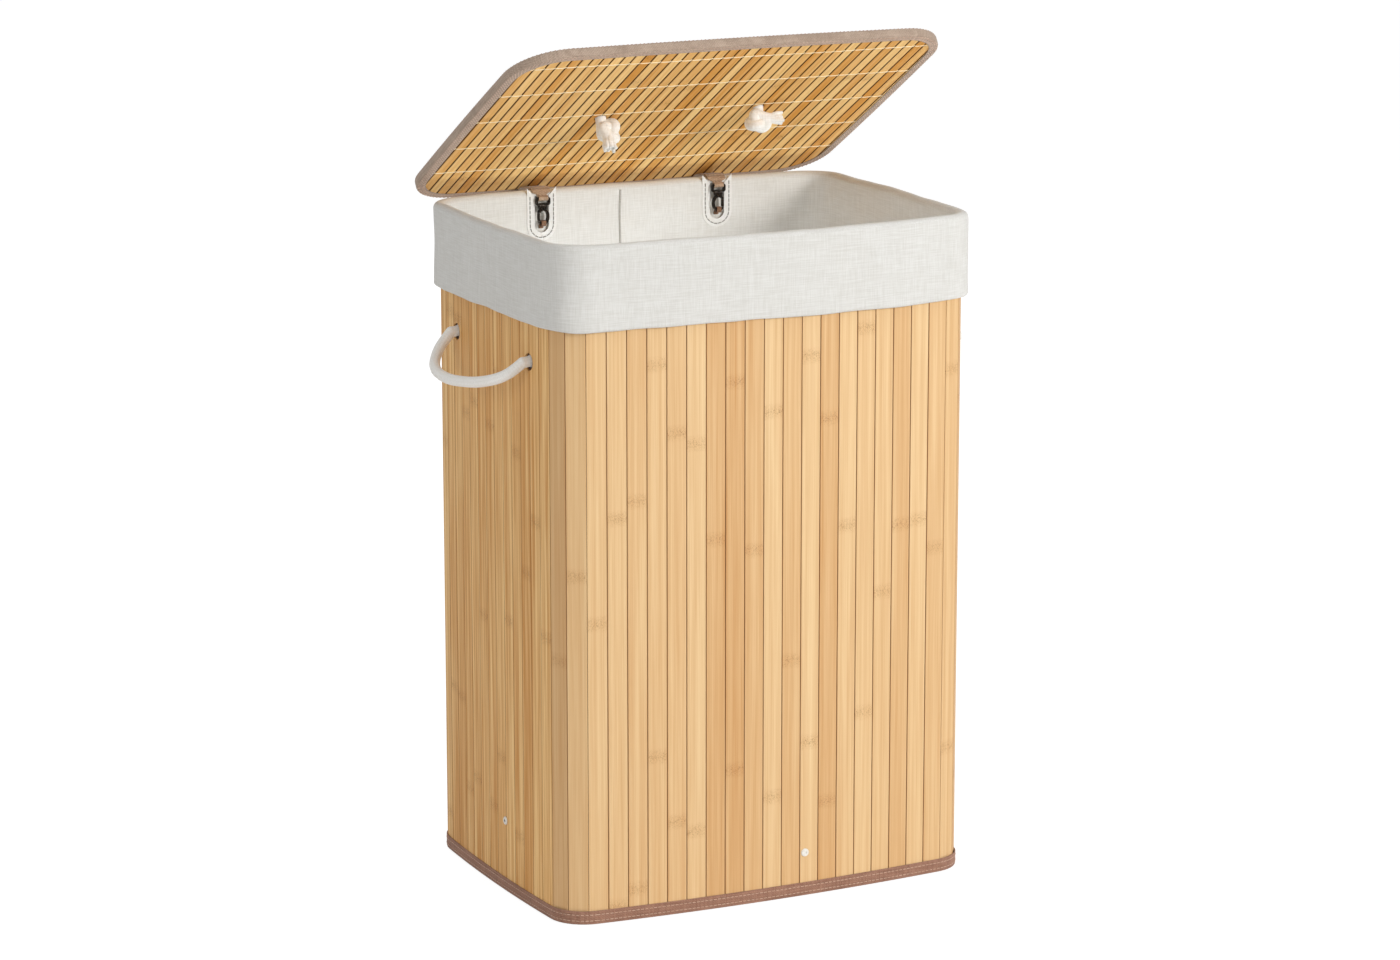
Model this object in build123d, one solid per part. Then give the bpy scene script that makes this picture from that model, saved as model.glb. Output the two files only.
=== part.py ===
"""Laundry hamper with lid: a bamboo-slat body with a fabric liner, rope handles and a strap-hinged lid.

Millimetres, +Z up, the front towards -Y, the origin on the floor under the middle of the body.
The lid stands part open, tilted back over the rear rim on its two webbing straps.
"""
import os
from math import atan2, cos, pi, radians, sin, sqrt

from build123d import *

# ---- driving dimensions ----------------------------------------------------------------------
# Body footprint: four shallow arcs joined by round corners, measured over the outer face of the slats.
BODY_WIDTH = 398.4
BODY_DEPTH = 298.4
BODY_CORNER = 32.0
FRONT_BOW = 1800.0  # radius of the front and back walls in plan
SIDE_BOW = 1900.0  # radius of the side walls in plan

# Vertical bamboo slats of the wall.
SLAT_COUNT = 72
SLAT_THICK = 2.0
SLAT_GAP = 0.55
SLAT_EDGE = 0.4  # chamfer along the outer edges
SLAT_BOTTOM = 1.3
SLAT_TOP = 583.0
SLAT_SHIFT = 6.0  # first seam, to the right of the front's middle
FACING_SHARE = 0.97  # least share of X or Y in a wall slat's direction; the others turn a corner
BACKING_THICK = 0.5
SEAT = 0.05  # air between pieces that lie on each other

# Tape bound round the bottom edge and the top edge of the wall.
TAPE_THICK = 0.8
BOTTOM_TAPE_HEIGHT = 12.0
TOP_TAPE_THICK = 0.5
TOP_TAPE_HEIGHT = 38.0

# Fabric liner: a bag that hangs inside, rolls over the rim and ends as a loose cuff outside.
RIM_RADIUS = 5.2
RIM_ABOVE = 5.0  # top of the roll above the slats
LINER_THICK = 0.9
CUFF_THICK = 1.6
CUFF_HEIGHT = 73.5
CUFF_OUT = 5.0  # how far the cuff stands out from the slats
BAG_TAPER = 4.5  # how far the bag draws in from the cuff's hem down to its floor

# U-shaped openings in the liner's back wall, where the strap hooks reach the frame.
NOTCH_X = 87.0
NOTCH_WIDTH = 14.0
NOTCH_BOTTOM = 550.0
NOTCH_BAND = 7.5
NOTCH_BAND_THICK = 0.5

# Base: a cloth tray riveted to the wall, with a stiff board in it.
BOARD_THICK = 3.0
TRAY_THICK = 0.8
TRAY_LIFT = 0.4  # of the tray's underside off the floor
TRAY_HEIGHT = 72.0
RIVET_HEAD = 7.2
RIVET_SHANK = 3.2
RIVET_PROUD = 1.1
RIVET_DIMPLE = 2.6
RIVET_WASHER = 6.4
WASHER_THICK = 0.6
RIVET_SIDE_Y = 23.0
RIVET_SIDE_Z = 64.0
RIVET_FRONT_X = 29.0
RIVET_FRONT_Z = 39.0

# Cotton rope handles: a free loop, and a knotted stub in each hole.
ROPE = 9.5
HOLE = 15.0
LID_HOLE = 11.5
HANDLE_SPAN = 154.0
HANDLE_Z = 480.5
LOOP_STAND = 5.25  # from the wall's face to the centre of the loop's ball end
KNOT_WIDTH = 20.0
KNOT_THICK = 12.0
KNOT_EDGE = 3.5  # bevel that rounds off a knot
BAG_BUMP = 14.6  # radius of the bulge that each inner knot presses into the bag
LID_KNOT_WIDTH = 20.0
LID_KNOT_THICK = 14.0
TAIL_LENGTH = 15.0
LEFT_TAIL = (-0.15, 0.5, -0.85)  # way in which each loose tail of a lid knot points
RIGHT_TAIL = (0.9, 0.25, -0.45)

BEND_SHARE = 0.45  # part of a run that the bend at its end may use

# Route of a rope loop: away from the face, along the span, and down the face.
LOOP_ROUTE = [
    (LOOP_STAND, HANDLE_SPAN / 2, 0),
    (15, 75, -9),
    (23.5, 68, -17.5),
    (30, 57, -24),
    (33.5, 42, -27),
    (35.5, 23.5, -27.5),
    (36.5, 2, -26.5),
    (35.5, -19.5, -24),
    (33.5, -38.5, -21.5),
    (30, -54.5, -18),
    (23.5, -67, -14),
    (14.5, -74.5, -8),
    (LOOP_STAND, -HANDLE_SPAN / 2, 0),
]

# Lid: bamboo slats on top, a thin board, narrow bamboo sticks below, taped round the edge.
LID_SIDE_REACH = 6.3  # how far the lid reaches past the slats at the sides
LID_END_REACH = 7.8  # and at the front and back
LID_CORNER = 46.0
LID_BOW = 6000.0
LID_TAPE_WIDTH = 8.5
LID_TAPE_EDGE = 0.6
LID_CORE_THICK = 2.4
LID_SLAT_PITCH = 18.0
LID_STICK_PITCH = 9.7
LID_STICK_THICK = 1.8
LID_STICK_GAP = 0.6
LID_HANDLE_BACK = 168.0  # from the rear edge to the handle's holes
LID_OPEN = 30.3  # tilt of the lid as it stands
PIVOT_INSET = 8.1  # centre about which the lid tips on its straps, in from its rear edge
PIVOT_DROP = 52.6  # and below its underside

# Webbing straps: one layer sewn over the rim, one from there to the lid.
STRAP_WIDTH = 18.0
STRAP_THICK = 0.8
RIM_AIR = 0.55  # between the rim and the layer sewn over it
STRAP_AIR = 0.15  # between the layers
LID_AIR = 0.3  # between the straps on the rim and the closed lid
STRAP_NECK = 9.2
STRAP_BACK = 80.0  # angle past the top of the rim where the sewn layer ends
STRAP_START = -20.0  # and where the free layer begins
STRAP_LEAVE = 6.0  # and where it leaves the rim
STRAP_SEWN_NEAR = 4.0  # span sewn under the lid, from its rear edge
STRAP_SEWN_FAR = 17.0

# Snap hooks on the straps, and the webbing tabs that hold them to the wall.
HOOK_WIDTH = 12.0
HOOK_HEIGHT = 15.0
HOOK_WIRE = 2.2
HOOK_THICK = 3.0
HOOK_BOTTOM = 557.0
COLLAR_WIDTH = 8.4
COLLAR_HEIGHT = 3.2
EYE_WIDTH = 14.0
EYE_HEIGHT = 7.5
HOOK_AIR = 0.3
GATE_LENGTH = 7.2
GATE_WIDTH = 1.8
GATE_INSET = 1.8  # of the gate's middle from the side of the hook
TAB_WIDTH = 4.5
TAB_THICK = 0.8
TAB_LIFT = 1.0  # end of the tab above the bottom of the notch

# ---- derived values --------------------------------------------------------------------------
LID_WIDTH = BODY_WIDTH + 2 * LID_SIDE_REACH
LID_DEPTH = BODY_DEPTH + 2 * LID_END_REACH
RIM_TOP = SLAT_TOP + RIM_ABOVE
RIM_Z = RIM_TOP - RIM_RADIUS
RIM_OUT = CUFF_OUT - RIM_RADIUS
RIM_INSIDE = RIM_OUT - RIM_RADIUS
CUFF_BOTTOM = RIM_TOP - CUFF_HEIGHT
BACKING_DEPTH = SLAT_THICK + SEAT
WALL_DEPTH = BACKING_DEPTH + BACKING_THICK
TRAY_DEPTH = WALL_DEPTH + TAPE_THICK + 2 * SEAT
TRAY_FLOOR = TRAY_LIFT + TRAY_THICK
BOARD_TOP = TRAY_FLOOR + SEAT + BOARD_THICK
BAG_BOTTOM = BOARD_TOP + 5 * SEAT
HANDLE_Y = HANDLE_SPAN / 2
LID_STICKS_Z = TAPE_THICK + SEAT
LID_CORE_Z = LID_STICKS_Z + LID_STICK_THICK + SEAT
LID_SLATS_Z = LID_CORE_Z + LID_CORE_THICK + SEAT
LID_THICK = LID_SLATS_Z + SLAT_THICK + SEAT + TAPE_THICK
LID_CLOSED_Z = RIM_TOP + RIM_AIR + 2 * STRAP_THICK + STRAP_AIR + LID_AIR
LID_REAR = LID_DEPTH / 2
PIVOT_Y = LID_REAR - PIVOT_INSET
PIVOT_Z = LID_CLOSED_Z - PIVOT_DROP
LEAN_Y = BODY_DEPTH / 2 + RIM_OUT


# ---- footprint of body and lid ---------------------------------------------------------------
def oval_arcs(width, depth, corner, end_radius, side_radius):
    """The nine arcs of a bowed rectangle, from the front's middle counter-clockwise.

    Each arc is (centre x, centre y, radius, first angle, last angle), angles in radians.
    """
    cx, cy = width / 2 - corner, depth / 2 - corner
    for _ in range(60):
        cx = width / 2 - side_radius + sqrt((side_radius - corner) ** 2 - cy**2)
        cy = depth / 2 - end_radius + sqrt((end_radius - corner) ** 2 - cx**2)
    front_y = end_radius - depth / 2
    right_x = width / 2 - side_radius
    a = atan2(-cy - front_y, cx)
    b = atan2(-cy, cx - right_x)
    return [
        (0, front_y, end_radius, -pi / 2, a),
        (cx, -cy, corner, a, b),
        (right_x, 0, side_radius, b, -b),
        (cx, cy, corner, -b, -a),
        (0, -front_y, end_radius, -a, pi + a),
        (-cx, cy, corner, pi + a, pi + b),
        (-right_x, 0, side_radius, pi + b, pi - b),
        (-cx, -cy, corner, pi - b, pi - a),
        (0, front_y, end_radius, -pi - a, -pi / 2),
    ]


BODY_ARCS = oval_arcs(BODY_WIDTH, BODY_DEPTH, BODY_CORNER, FRONT_BOW, SIDE_BOW)
LID_ARCS = oval_arcs(LID_WIDTH, LID_DEPTH, LID_CORNER, LID_BOW, LID_BOW)


def oval_face(arcs, offset=0.0):
    """Flat face inside the oval, grown outwards by offset."""
    edges = []
    for x, y, radius, first, last in arcs:
        r = radius + offset
        spots = [(x + r * cos(t), y + r * sin(t)) for t in (first, (first + last) / 2, last)]
        edges.append(ThreePointArc(*spots))
    return make_face(edges)


def oval_ring(arcs, outside, inside, bottom, top):
    """Closed band between two offsets of the oval, from bottom to top."""
    section = oval_face(arcs, outside) - oval_face(arcs, inside)
    return Pos(0, 0, bottom) * extrude(section, top - bottom)


def oval_point(arcs, along):
    """Point and outward direction at a length along the oval."""
    for x, y, radius, first, last in arcs:
        length = radius * (last - first)
        if along <= length:
            break
        along -= length
    t = first + along / radius
    return Vector(x + radius * cos(t), y + radius * sin(t)), Vector(cos(t), sin(t))


def back_y(arcs, x):
    """Depth of the back arc at x."""
    centre_y, radius = arcs[4][1], arcs[4][2]
    return centre_y + sqrt(radius**2 - x**2)


def side_x(arcs, y):
    """Width of the right arc at y."""
    centre_x, radius = arcs[2][0], arcs[2][2]
    return centre_x + sqrt(radius**2 - y**2)


def whole(pieces):
    """One compound of separate solids."""
    solids = []
    for piece in pieces:
        solids += piece.solids()
    return Compound(solids)


def mirror_x(piece):
    """The same piece on the other side of the middle."""
    return mirror(piece, about=Plane.YZ)


# ---- the slatted wall ------------------------------------------------------------------------
def wall_joints():
    """Points on the footprint where neighbouring slats meet."""
    around = sum(radius * (last - first) for _, _, radius, first, last in BODY_ARCS)
    pitch = around / SLAT_COUNT
    return [oval_point(BODY_ARCS, (SLAT_SHIFT + i * pitch) % around)[0] for i in range(SLAT_COUNT)]


JOINTS = wall_joints()


def slat_outline(i):
    """Corners of slat i in plan: chamfered outside, mitred inside where the wall turns."""
    before, start = JOINTS[i - 1], JOINTS[i]
    end, after = JOINTS[(i + 1) % SLAT_COUNT], JOINTS[(i + 2) % SLAT_COUNT]
    along = (end - start).normalized()
    inward = Vector(-along.Y, along.X)
    near_turn = radians((start - before).get_angle(end - start)) / 2
    far_turn = radians((end - start).get_angle(after - end)) / 2
    half_gap = SLAT_GAP / 2
    length = (end - start).length
    corners = [
        (half_gap + SLAT_EDGE, 0),
        (length - half_gap - SLAT_EDGE, 0),
        (length - half_gap, SLAT_EDGE),
        (length - half_gap - SLAT_THICK * sin(far_turn) / cos(far_turn), SLAT_THICK),
        (half_gap + SLAT_THICK * sin(near_turn) / cos(near_turn), SLAT_THICK),
        (half_gap, SLAT_EDGE),
    ]
    return [start + along * u + inward * v for u, v in corners], -inward


def wall_holes():
    """Cutters of the punched handle holes and of the rivets' shanks."""
    x = side_x(BODY_ARCS, HANDLE_SPAN / 2)
    reach = 4 * CUFF_OUT
    cutters = []
    for side in (-1, 1):
        for y in (-HANDLE_SPAN / 2, HANDLE_SPAN / 2):
            cutters.append(Pos(side * x, y, HANDLE_Z) * Rot(0, 90, 0) * Cylinder(HOLE / 2, reach))
    for place in rivet_places():
        cutters.append(place * Cylinder(RIVET_SHANK / 2 + SEAT, reach))
    return cutters


def rivet_places():
    """Locations on the slats' outer face, +Z outwards: left, front, right and back."""
    x = side_x(BODY_ARCS, RIVET_SIDE_Y)
    y = back_y(BODY_ARCS, RIVET_FRONT_X)
    return [
        Pos(-x, -RIVET_SIDE_Y, RIVET_SIDE_Z) * Rot(0, -90, 0),
        Pos(RIVET_FRONT_X, -y, RIVET_FRONT_Z) * Rot(90, 0, 0),
        Pos(x, RIVET_SIDE_Y, RIVET_SIDE_Z) * Rot(0, 90, 0),
        Pos(-RIVET_FRONT_X, y, RIVET_FRONT_Z) * Rot(-90, 0, 0),
    ]


def wall_name(out):
    """Which run of the wall a slat with this outward direction belongs to."""
    if abs(out.Y) > FACING_SHARE:
        return "front_slats" if out.Y < 0 else "back_slats"
    if abs(out.X) > FACING_SHARE:
        return "left_slats" if out.X < 0 else "right_slats"
    return ("front" if out.Y < 0 else "back") + ("_left" if out.X < 0 else "_right") + "_corner_slats"


def wall_slats():
    """All slats of the wall, sorted by run."""
    cutters = wall_holes()
    runs = {}
    for i in range(SLAT_COUNT):
        outline, out = slat_outline(i)
        slat = extrude(make_face(Polyline(*outline, close=True)), SLAT_TOP - SLAT_BOTTOM)
        slat = Pos(0, 0, SLAT_BOTTOM) * slat
        middle = slat.center()
        for cutter in cutters:
            if (cutter.center() - middle).cross(Vector(0, 0, 1)).length < SLAT_THICK + HOLE + CUFF_OUT:
                slat = slat - cutter
        runs.setdefault(wall_name(out), []).append(slat)
    return {name: whole(slats) for name, slats in runs.items()}


def inner_polygon(depth):
    """Plan of the wall's inside, a polygon parallel to the slats at a depth behind their face."""
    corners = []
    for i, joint in enumerate(JOINTS):
        before = (joint - JOINTS[i - 1]).normalized()
        after = (JOINTS[(i + 1) % SLAT_COUNT] - joint).normalized()
        bisector = (Vector(-before.Y, before.X) + Vector(-after.Y, after.X)).normalized()
        corners.append(joint + bisector * (depth / bisector.dot(Vector(-after.Y, after.X))))
    return make_face(Polyline(*corners, close=True))


def wall_backing():
    """Cloth that the slats are glued to."""
    section = inner_polygon(BACKING_DEPTH) - inner_polygon(WALL_DEPTH)
    sheet = Pos(0, 0, SLAT_BOTTOM) * extrude(section, SLAT_TOP - SLAT_BOTTOM)
    for cutter in wall_holes():
        sheet = sheet - cutter
    return sheet


def folded_tape(thick, depth, low, high, edge):
    """Tape folded round one edge of the wall: an outer leg, an inner leg and the web at edge."""
    outer = oval_face(BODY_ARCS, SEAT + thick) - inner_polygon(depth + thick)
    channel = oval_face(BODY_ARCS, SEAT) - inner_polygon(depth)
    tape = Pos(0, 0, low) * extrude(outer, high - low)
    if edge == "bottom":
        return tape - Pos(0, 0, low + thick) * extrude(channel, high - low)
    return tape - Pos(0, 0, low) * extrude(channel, high - low - thick)


def bottom_binding():
    """Tape round the bottom edge of the wall; the hamper stands on it."""
    return folded_tape(TAPE_THICK, WALL_DEPTH + SEAT, 0, BOTTOM_TAPE_HEIGHT, "bottom")


def top_binding():
    """Tape over the top edge of the wall, seen only through the notches of the liner."""
    high = SLAT_TOP + SEAT + TOP_TAPE_THICK
    return folded_tape(TOP_TAPE_THICK, WALL_DEPTH + SEAT, high - TOP_TAPE_HEIGHT, high, "top")


# ---- base ------------------------------------------------------------------------------------
def base_tray():
    """Cloth tray: the floor of the hamper and the skirt that is riveted to the wall."""
    tray = Pos(0, 0, TRAY_LIFT) * extrude(inner_polygon(TRAY_DEPTH), TRAY_HEIGHT - TRAY_LIFT)
    hollow = Pos(0, 0, TRAY_FLOOR) * extrude(inner_polygon(TRAY_DEPTH + TRAY_THICK), TRAY_HEIGHT)
    tray = tray - hollow
    for place in rivet_places():
        tray = tray - place * Cylinder(RIVET_SHANK / 2 + SEAT, 4 * TRAY_DEPTH)
    return tray


def base_board():
    """Stiff board in the tray."""
    return Pos(0, 0, TRAY_FLOOR + SEAT) * extrude(inner_polygon(TRAY_DEPTH + TRAY_THICK + SEAT), BOARD_THICK)


def rivets():
    """White rivets: a dimpled head outside, a shank and a washer inside the tray."""
    head_low = 2 * SEAT
    inside = -(TRAY_DEPTH + TRAY_THICK + 2 * SEAT)
    head = Pos(0, 0, head_low + RIVET_PROUD / 2) * Cylinder(RIVET_HEAD / 2, RIVET_PROUD)
    rim = head.edges().group_by(Axis.Z)[-1]
    head = chamfer(rim, RIVET_PROUD / 2)
    head -= Pos(0, 0, head_low + RIVET_PROUD) * Cylinder(RIVET_DIMPLE / 2, RIVET_PROUD)
    long = head_low - inside + WASHER_THICK / 2
    shank = Pos(0, 0, head_low - long / 2) * Cylinder(RIVET_SHANK / 2, long)
    washer = Pos(0, 0, inside - WASHER_THICK / 2) * Cylinder(RIVET_WASHER / 2, WASHER_THICK)
    rivet = head + shank + washer
    return whole([place * rivet for place in rivet_places()])


# ---- fabric liner ----------------------------------------------------------------------------
def rolled_ring(outside, inside, low, high):
    """Closed band whose top is rounded over from side to side."""
    band = oval_ring(BODY_ARCS, outside, inside, low, high)
    rim = band.edges().group_by(Axis.Z)[-1]
    return fillet(rim, (outside - inside) / 2 - SEAT)


def knot_bumps(radius):
    """Balls that clear the four inner knots of the side handles."""
    x = side_x(BODY_ARCS, HANDLE_Y) - WALL_DEPTH
    spots = [(sx * x, sy * HANDLE_Y, HANDLE_Z) for sx in (-1, 1) for sy in (-1, 1)]
    return [Pos(*spot) * Sphere(radius) for spot in spots]


def bag_body(offset, bottom, bump):
    """Solid inside one face of the bag's cloth: a gentle taper, dented by the handle knots."""
    low = Pos(0, 0, bottom) * oval_face(BODY_ARCS, offset - BAG_TAPER)
    high = Pos(0, 0, CUFF_BOTTOM) * oval_face(BODY_ARCS, offset)
    body = loft([low, high], ruled=True)
    for ball in knot_bumps(bump):
        body = body - ball
    return body


def notch_prism(x, grow, high):
    """U shape about a hook, through the liner's inner layer: straight sides and a round bottom."""
    half = NOTCH_WIDTH / 2 + grow
    centre = NOTCH_BOTTOM + NOTCH_WIDTH / 2
    shape = Pos(x, centre) * Circle(half) + Pos(x, (centre + high) / 2) * Rectangle(2 * half, high - centre)
    return extrude(Plane.XZ.offset(-back_y(BODY_ARCS, x)) * shape, 6 * RIM_RADIUS)


def liner():
    """One cloth: the bag inside, the roll over the rim, the cuff outside, two notches at the back."""
    roll = rolled_ring(CUFF_OUT, RIM_INSIDE, CUFF_BOTTOM, RIM_TOP)
    hollow = rolled_ring(
        CUFF_OUT - CUFF_THICK, RIM_INSIDE + LINER_THICK, CUFF_BOTTOM - CUFF_THICK, RIM_TOP - LINER_THICK
    )
    cloth = bag_body(RIM_INSIDE + LINER_THICK, BAG_BOTTOM, BAG_BUMP)
    cloth = cloth - bag_body(RIM_INSIDE, BAG_BOTTOM + LINER_THICK, BAG_BUMP + LINER_THICK)
    cloth = roll - hollow + cloth
    for x in (-NOTCH_X, NOTCH_X):
        cloth = cloth - notch_prism(x, 0, RIM_Z)
    return cloth


def notch_facing(x):
    """Smooth band sewn round a notch, on the inside of the liner."""
    outside = RIM_INSIDE - SEAT
    band = notch_prism(x, NOTCH_BAND, RIM_Z) - notch_prism(x, 0, RIM_TOP)
    return band & oval_ring(BODY_ARCS, outside, outside - NOTCH_BAND_THICK, CUFF_BOTTOM, RIM_TOP)


# ---- rope handles ----------------------------------------------------------------------------
def rope_loop():
    """Free loop of rope with domed ends, at the origin: X off the face, Y along the span, Z up."""
    points = [Vector(*spot) for spot in LOOP_ROUTE]
    radii = []
    for before, here, after in zip(points, points[1:], points[2:]):
        turn = radians((here - before).get_angle(after - here))
        run = min((here - before).length, (after - here).length)
        radii.append(BEND_SHARE * run / (sin(turn / 2) / cos(turn / 2)))
    path = FilletPolyline(*points, radius=radii)
    section = Plane(origin=points[0], z_dir=points[1] - points[0]) * Circle(ROPE / 2)
    tube = sweep(section, path)
    print("rope loop: radii", [round(r, 1) for r in radii], "length", round(path.length, 1))
    swept = section.area * path.length
    print("rope loop: volume", round(tube.volume, 1), "section x length", round(swept, 1))
    for end in (points[0], points[-1]):
        tube = tube + Pos(*end) * Sphere(ROPE / 2 - 2 * SEAT)
    return tube


def wall_face(side):
    """Plane on a side wall through the middle of its handle: +X out of the wall, +Z up."""
    x = side_x(BODY_ARCS, HANDLE_Y)
    return Plane((side * x, 0, HANDLE_Z), x_dir=(side, 0, 0), z_dir=(0, 0, 1))


def side_handle(loop, side):
    """Loop of one side handle; the left one mirrors the right one."""
    right = wall_face(1).location * loop
    return right if side > 0 else mirror_x(right)


def knotted_stub(depth, face_air, width, thick):
    """Rope end through a wall, at the origin: +Z out of the face, a round knot behind the wall."""
    knot = Pos(0, 0, -depth - thick / 2) * Cylinder(width / 2, thick)
    knot = chamfer(knot.edges().filter_by(GeomType.CIRCLE), KNOT_EDGE)
    reach = depth + face_air + thick / 2
    return knot + Pos(0, 0, face_air - reach / 2) * Cylinder(ROPE / 2, reach)


def side_knots(side):
    """Both stubs of one side handle, knotted between the wall and the bag."""
    x = side_x(BODY_ARCS, HANDLE_Y)
    stub = knotted_stub(WALL_DEPTH + SEAT, 4 * SEAT, KNOT_WIDTH, KNOT_THICK)
    out = Rot(0, 90 * side, 0)
    return whole([Pos(side * x, y, HANDLE_Z) * out * stub for y in (-HANDLE_Y, HANDLE_Y)])


# ---- lid, flat with its underside at z = 0 ---------------------------------------------------
LID_POSE = Pos(0, PIVOT_Y, PIVOT_Z) * Rot(-LID_OPEN, 0, 0) * Pos(0, -PIVOT_Y, LID_CLOSED_Z - PIVOT_Z)
LID_HANDLE_Y = LID_REAR - LID_HANDLE_BACK


def lid_holes():
    """Cutters of the two handle holes."""
    return [Pos(x, LID_HANDLE_Y, 0) * Cylinder(LID_HOLE / 2, 4 * LID_THICK) for x in (-HANDLE_Y, HANDLE_Y)]


def lid_layer(low, thick):
    """One layer of the lid inside its tape."""
    return Pos(0, 0, low) * extrude(oval_face(LID_ARCS, -TAPE_THICK - SEAT), thick)


def strips(low, thick, pitch, gap, down):
    """A layer cut into whole strips of about the pitch, from front to back, with one seam in the middle."""
    layer = lid_layer(low, thick)
    for hole in lid_holes():
        layer = layer - hole
    half_width = LID_WIDTH / 2 - TAPE_THICK - SEAT
    count = round(half_width / pitch)
    step = half_width / count
    pieces = []
    for i in range(-count, count):
        bar = Pos((i + 0.5) * step, 0, low + thick / 2) * Box(step - gap, 2 * LID_DEPTH, thick)
        long_edges = bar.edges().filter_by(Axis.Y).group_by(Axis.Z)[0 if down else -1]
        pieces.append(layer & chamfer(long_edges, SLAT_EDGE))
    return whole(pieces)


def lid_core():
    """Stiff board between the bamboo layers."""
    board = lid_layer(LID_CORE_Z, LID_CORE_THICK)
    for hole in lid_holes():
        board = board - hole
    return board


def outward(face):
    """True where an upright face looks away from the middle."""
    return face.normal_at().dot(face.center()) > 0


def lid_binding():
    """Tape folded round the lid's edge, with softened corners."""
    tape = oval_ring(LID_ARCS, 0, -LID_TAPE_WIDTH, 0, LID_THICK)
    outside = tape.faces().filter_by(lambda f: f.normal_at().Z**2 < 0.5 and outward(f))
    rim = [edge for face in outside for edge in face.edges() if abs(edge.center().Z - LID_THICK / 2) > SEAT]
    tape = fillet(rim, LID_TAPE_EDGE)
    channel = oval_ring(LID_ARCS, -TAPE_THICK, -LID_TAPE_WIDTH - SEAT, TAPE_THICK, LID_THICK - TAPE_THICK)
    return tape - channel


def lid_handle(loop):
    """Loop of the lid's handle: it stands off the top and lies back towards the hinge."""
    face = Plane((0, LID_HANDLE_Y, LID_THICK), x_dir=(0, 0, 1), z_dir=(0, -1, 0))
    return face.location * loop


def lid_knots():
    """Stubs of the lid's handle, knotted under the lid with a loose tail each."""
    stub = knotted_stub(LID_THICK + SEAT, 4 * SEAT, LID_KNOT_WIDTH, LID_KNOT_THICK)
    pieces = []
    for x, heading in ((-HANDLE_Y, LEFT_TAIL), (HANDLE_Y, RIGHT_TAIL)):
        middle = Vector(x, LID_HANDLE_Y, -LID_KNOT_THICK / 2)
        reach = LID_KNOT_THICK / 2 + TAIL_LENGTH
        tail = extrude(Plane(middle, z_dir=heading) * Circle(ROPE / 2 - SEAT), reach)
        pieces.append(Pos(x, LID_HANDLE_Y, LID_THICK) * stub + tail)
    return whole(pieces)


# ---- straps and hooks ------------------------------------------------------------------------
LAYER_ONE = RIM_RADIUS + RIM_AIR + STRAP_THICK / 2
LAYER_TWO = LAYER_ONE + STRAP_THICK + STRAP_AIR
STRAP_TURN = HOOK_WIRE / sqrt(2) + SEAT + STRAP_THICK / 2
RIM_Y = back_y(BODY_ARCS, NOTCH_X) + RIM_OUT
HOOK_Y = RIM_Y - LAYER_ONE - STRAP_TURN
HOOK_MIDDLE = HOOK_BOTTOM + HOOK_HEIGHT / 2
COLLAR_BOTTOM = HOOK_BOTTOM + HOOK_HEIGHT - 2 * HOOK_AIR
EYE_BOTTOM = COLLAR_BOTTOM + COLLAR_HEIGHT + SEAT
EYE_BAR = EYE_BOTTOM + EYE_HEIGHT - HOOK_WIRE / 2


def rim_spot(angle, radius):
    """(Y, Z) about the rim's centre at a strap, at an angle past the top."""
    return (RIM_Y + radius * sin(radians(angle)), RIM_Z + radius * cos(radians(angle)))


def rim_arc(first, last, radius):
    """Arc over the rim between two angles past its top."""
    return ThreePointArc(*[rim_spot(angle, radius) for angle in (first, (first + last) / 2, last)])


def lid_spot(back, below):
    """(Y, Z) of a point under the open lid, at a distance in front of its rear edge."""
    place = (LID_POSE * Pos(0, LID_REAR - back, -below)).position
    return (place.Y, place.Z)


def webbing(x, section, width):
    """Section across the rim, made as wide as the webbing."""
    return extrude(Plane.YZ.offset(x) * section, width / 2, both=True)


def sewn_strap(x):
    """Layer sewn over the rim: looped through the hook's eye, widening, then down behind the rim."""
    half_thick = STRAP_THICK / 2
    loop = Pos(HOOK_Y, EYE_BAR) * (Circle(STRAP_TURN + half_thick) - Circle(STRAP_TURN - half_thick))
    rise = trace(Line((HOOK_Y + STRAP_TURN, EYE_BAR), rim_spot(-90, LAYER_ONE)), STRAP_THICK)
    bend = trace(rim_arc(-90, 0, LAYER_ONE), STRAP_THICK)
    front = webbing(x, rise, STRAP_WIDTH) + webbing(x, bend, STRAP_WIDTH)
    half, neck, shoulder = STRAP_WIDTH / 2, STRAP_NECK / 2, RIM_Z + RIM_RADIUS / 2
    taper = Polyline(
        (-neck, HOOK_BOTTOM),
        (neck, HOOK_BOTTOM),
        (neck, RIM_Z),
        (half, shoulder),
        (half, LID_CLOSED_Z),
        (-half, LID_CLOSED_Z),
        (-half, shoulder),
        (-neck, RIM_Z),
        close=True,
    )
    front = front & extrude(Plane.XZ.offset(-RIM_Y) * (Pos(x, 0) * make_face(taper)), 2 * LAYER_TWO)
    back = webbing(x, trace(rim_arc(0, STRAP_BACK, LAYER_ONE), STRAP_THICK), STRAP_WIDTH)
    return webbing(x, loop, STRAP_NECK) + front + back


def hinge_strap(x):
    """Free layer: from the top of the rim to the underside of the lid, where it is sewn on."""
    below = STRAP_AIR + STRAP_THICK / 2
    far, near = lid_spot(STRAP_SEWN_FAR, below), lid_spot(STRAP_SEWN_NEAR, below)
    arc = rim_arc(STRAP_START, STRAP_LEAVE, LAYER_TWO)
    line = [arc, Polyline(rim_spot(STRAP_LEAVE, LAYER_TWO), far, near)]
    return webbing(x, trace(line, STRAP_THICK), STRAP_WIDTH)


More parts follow.
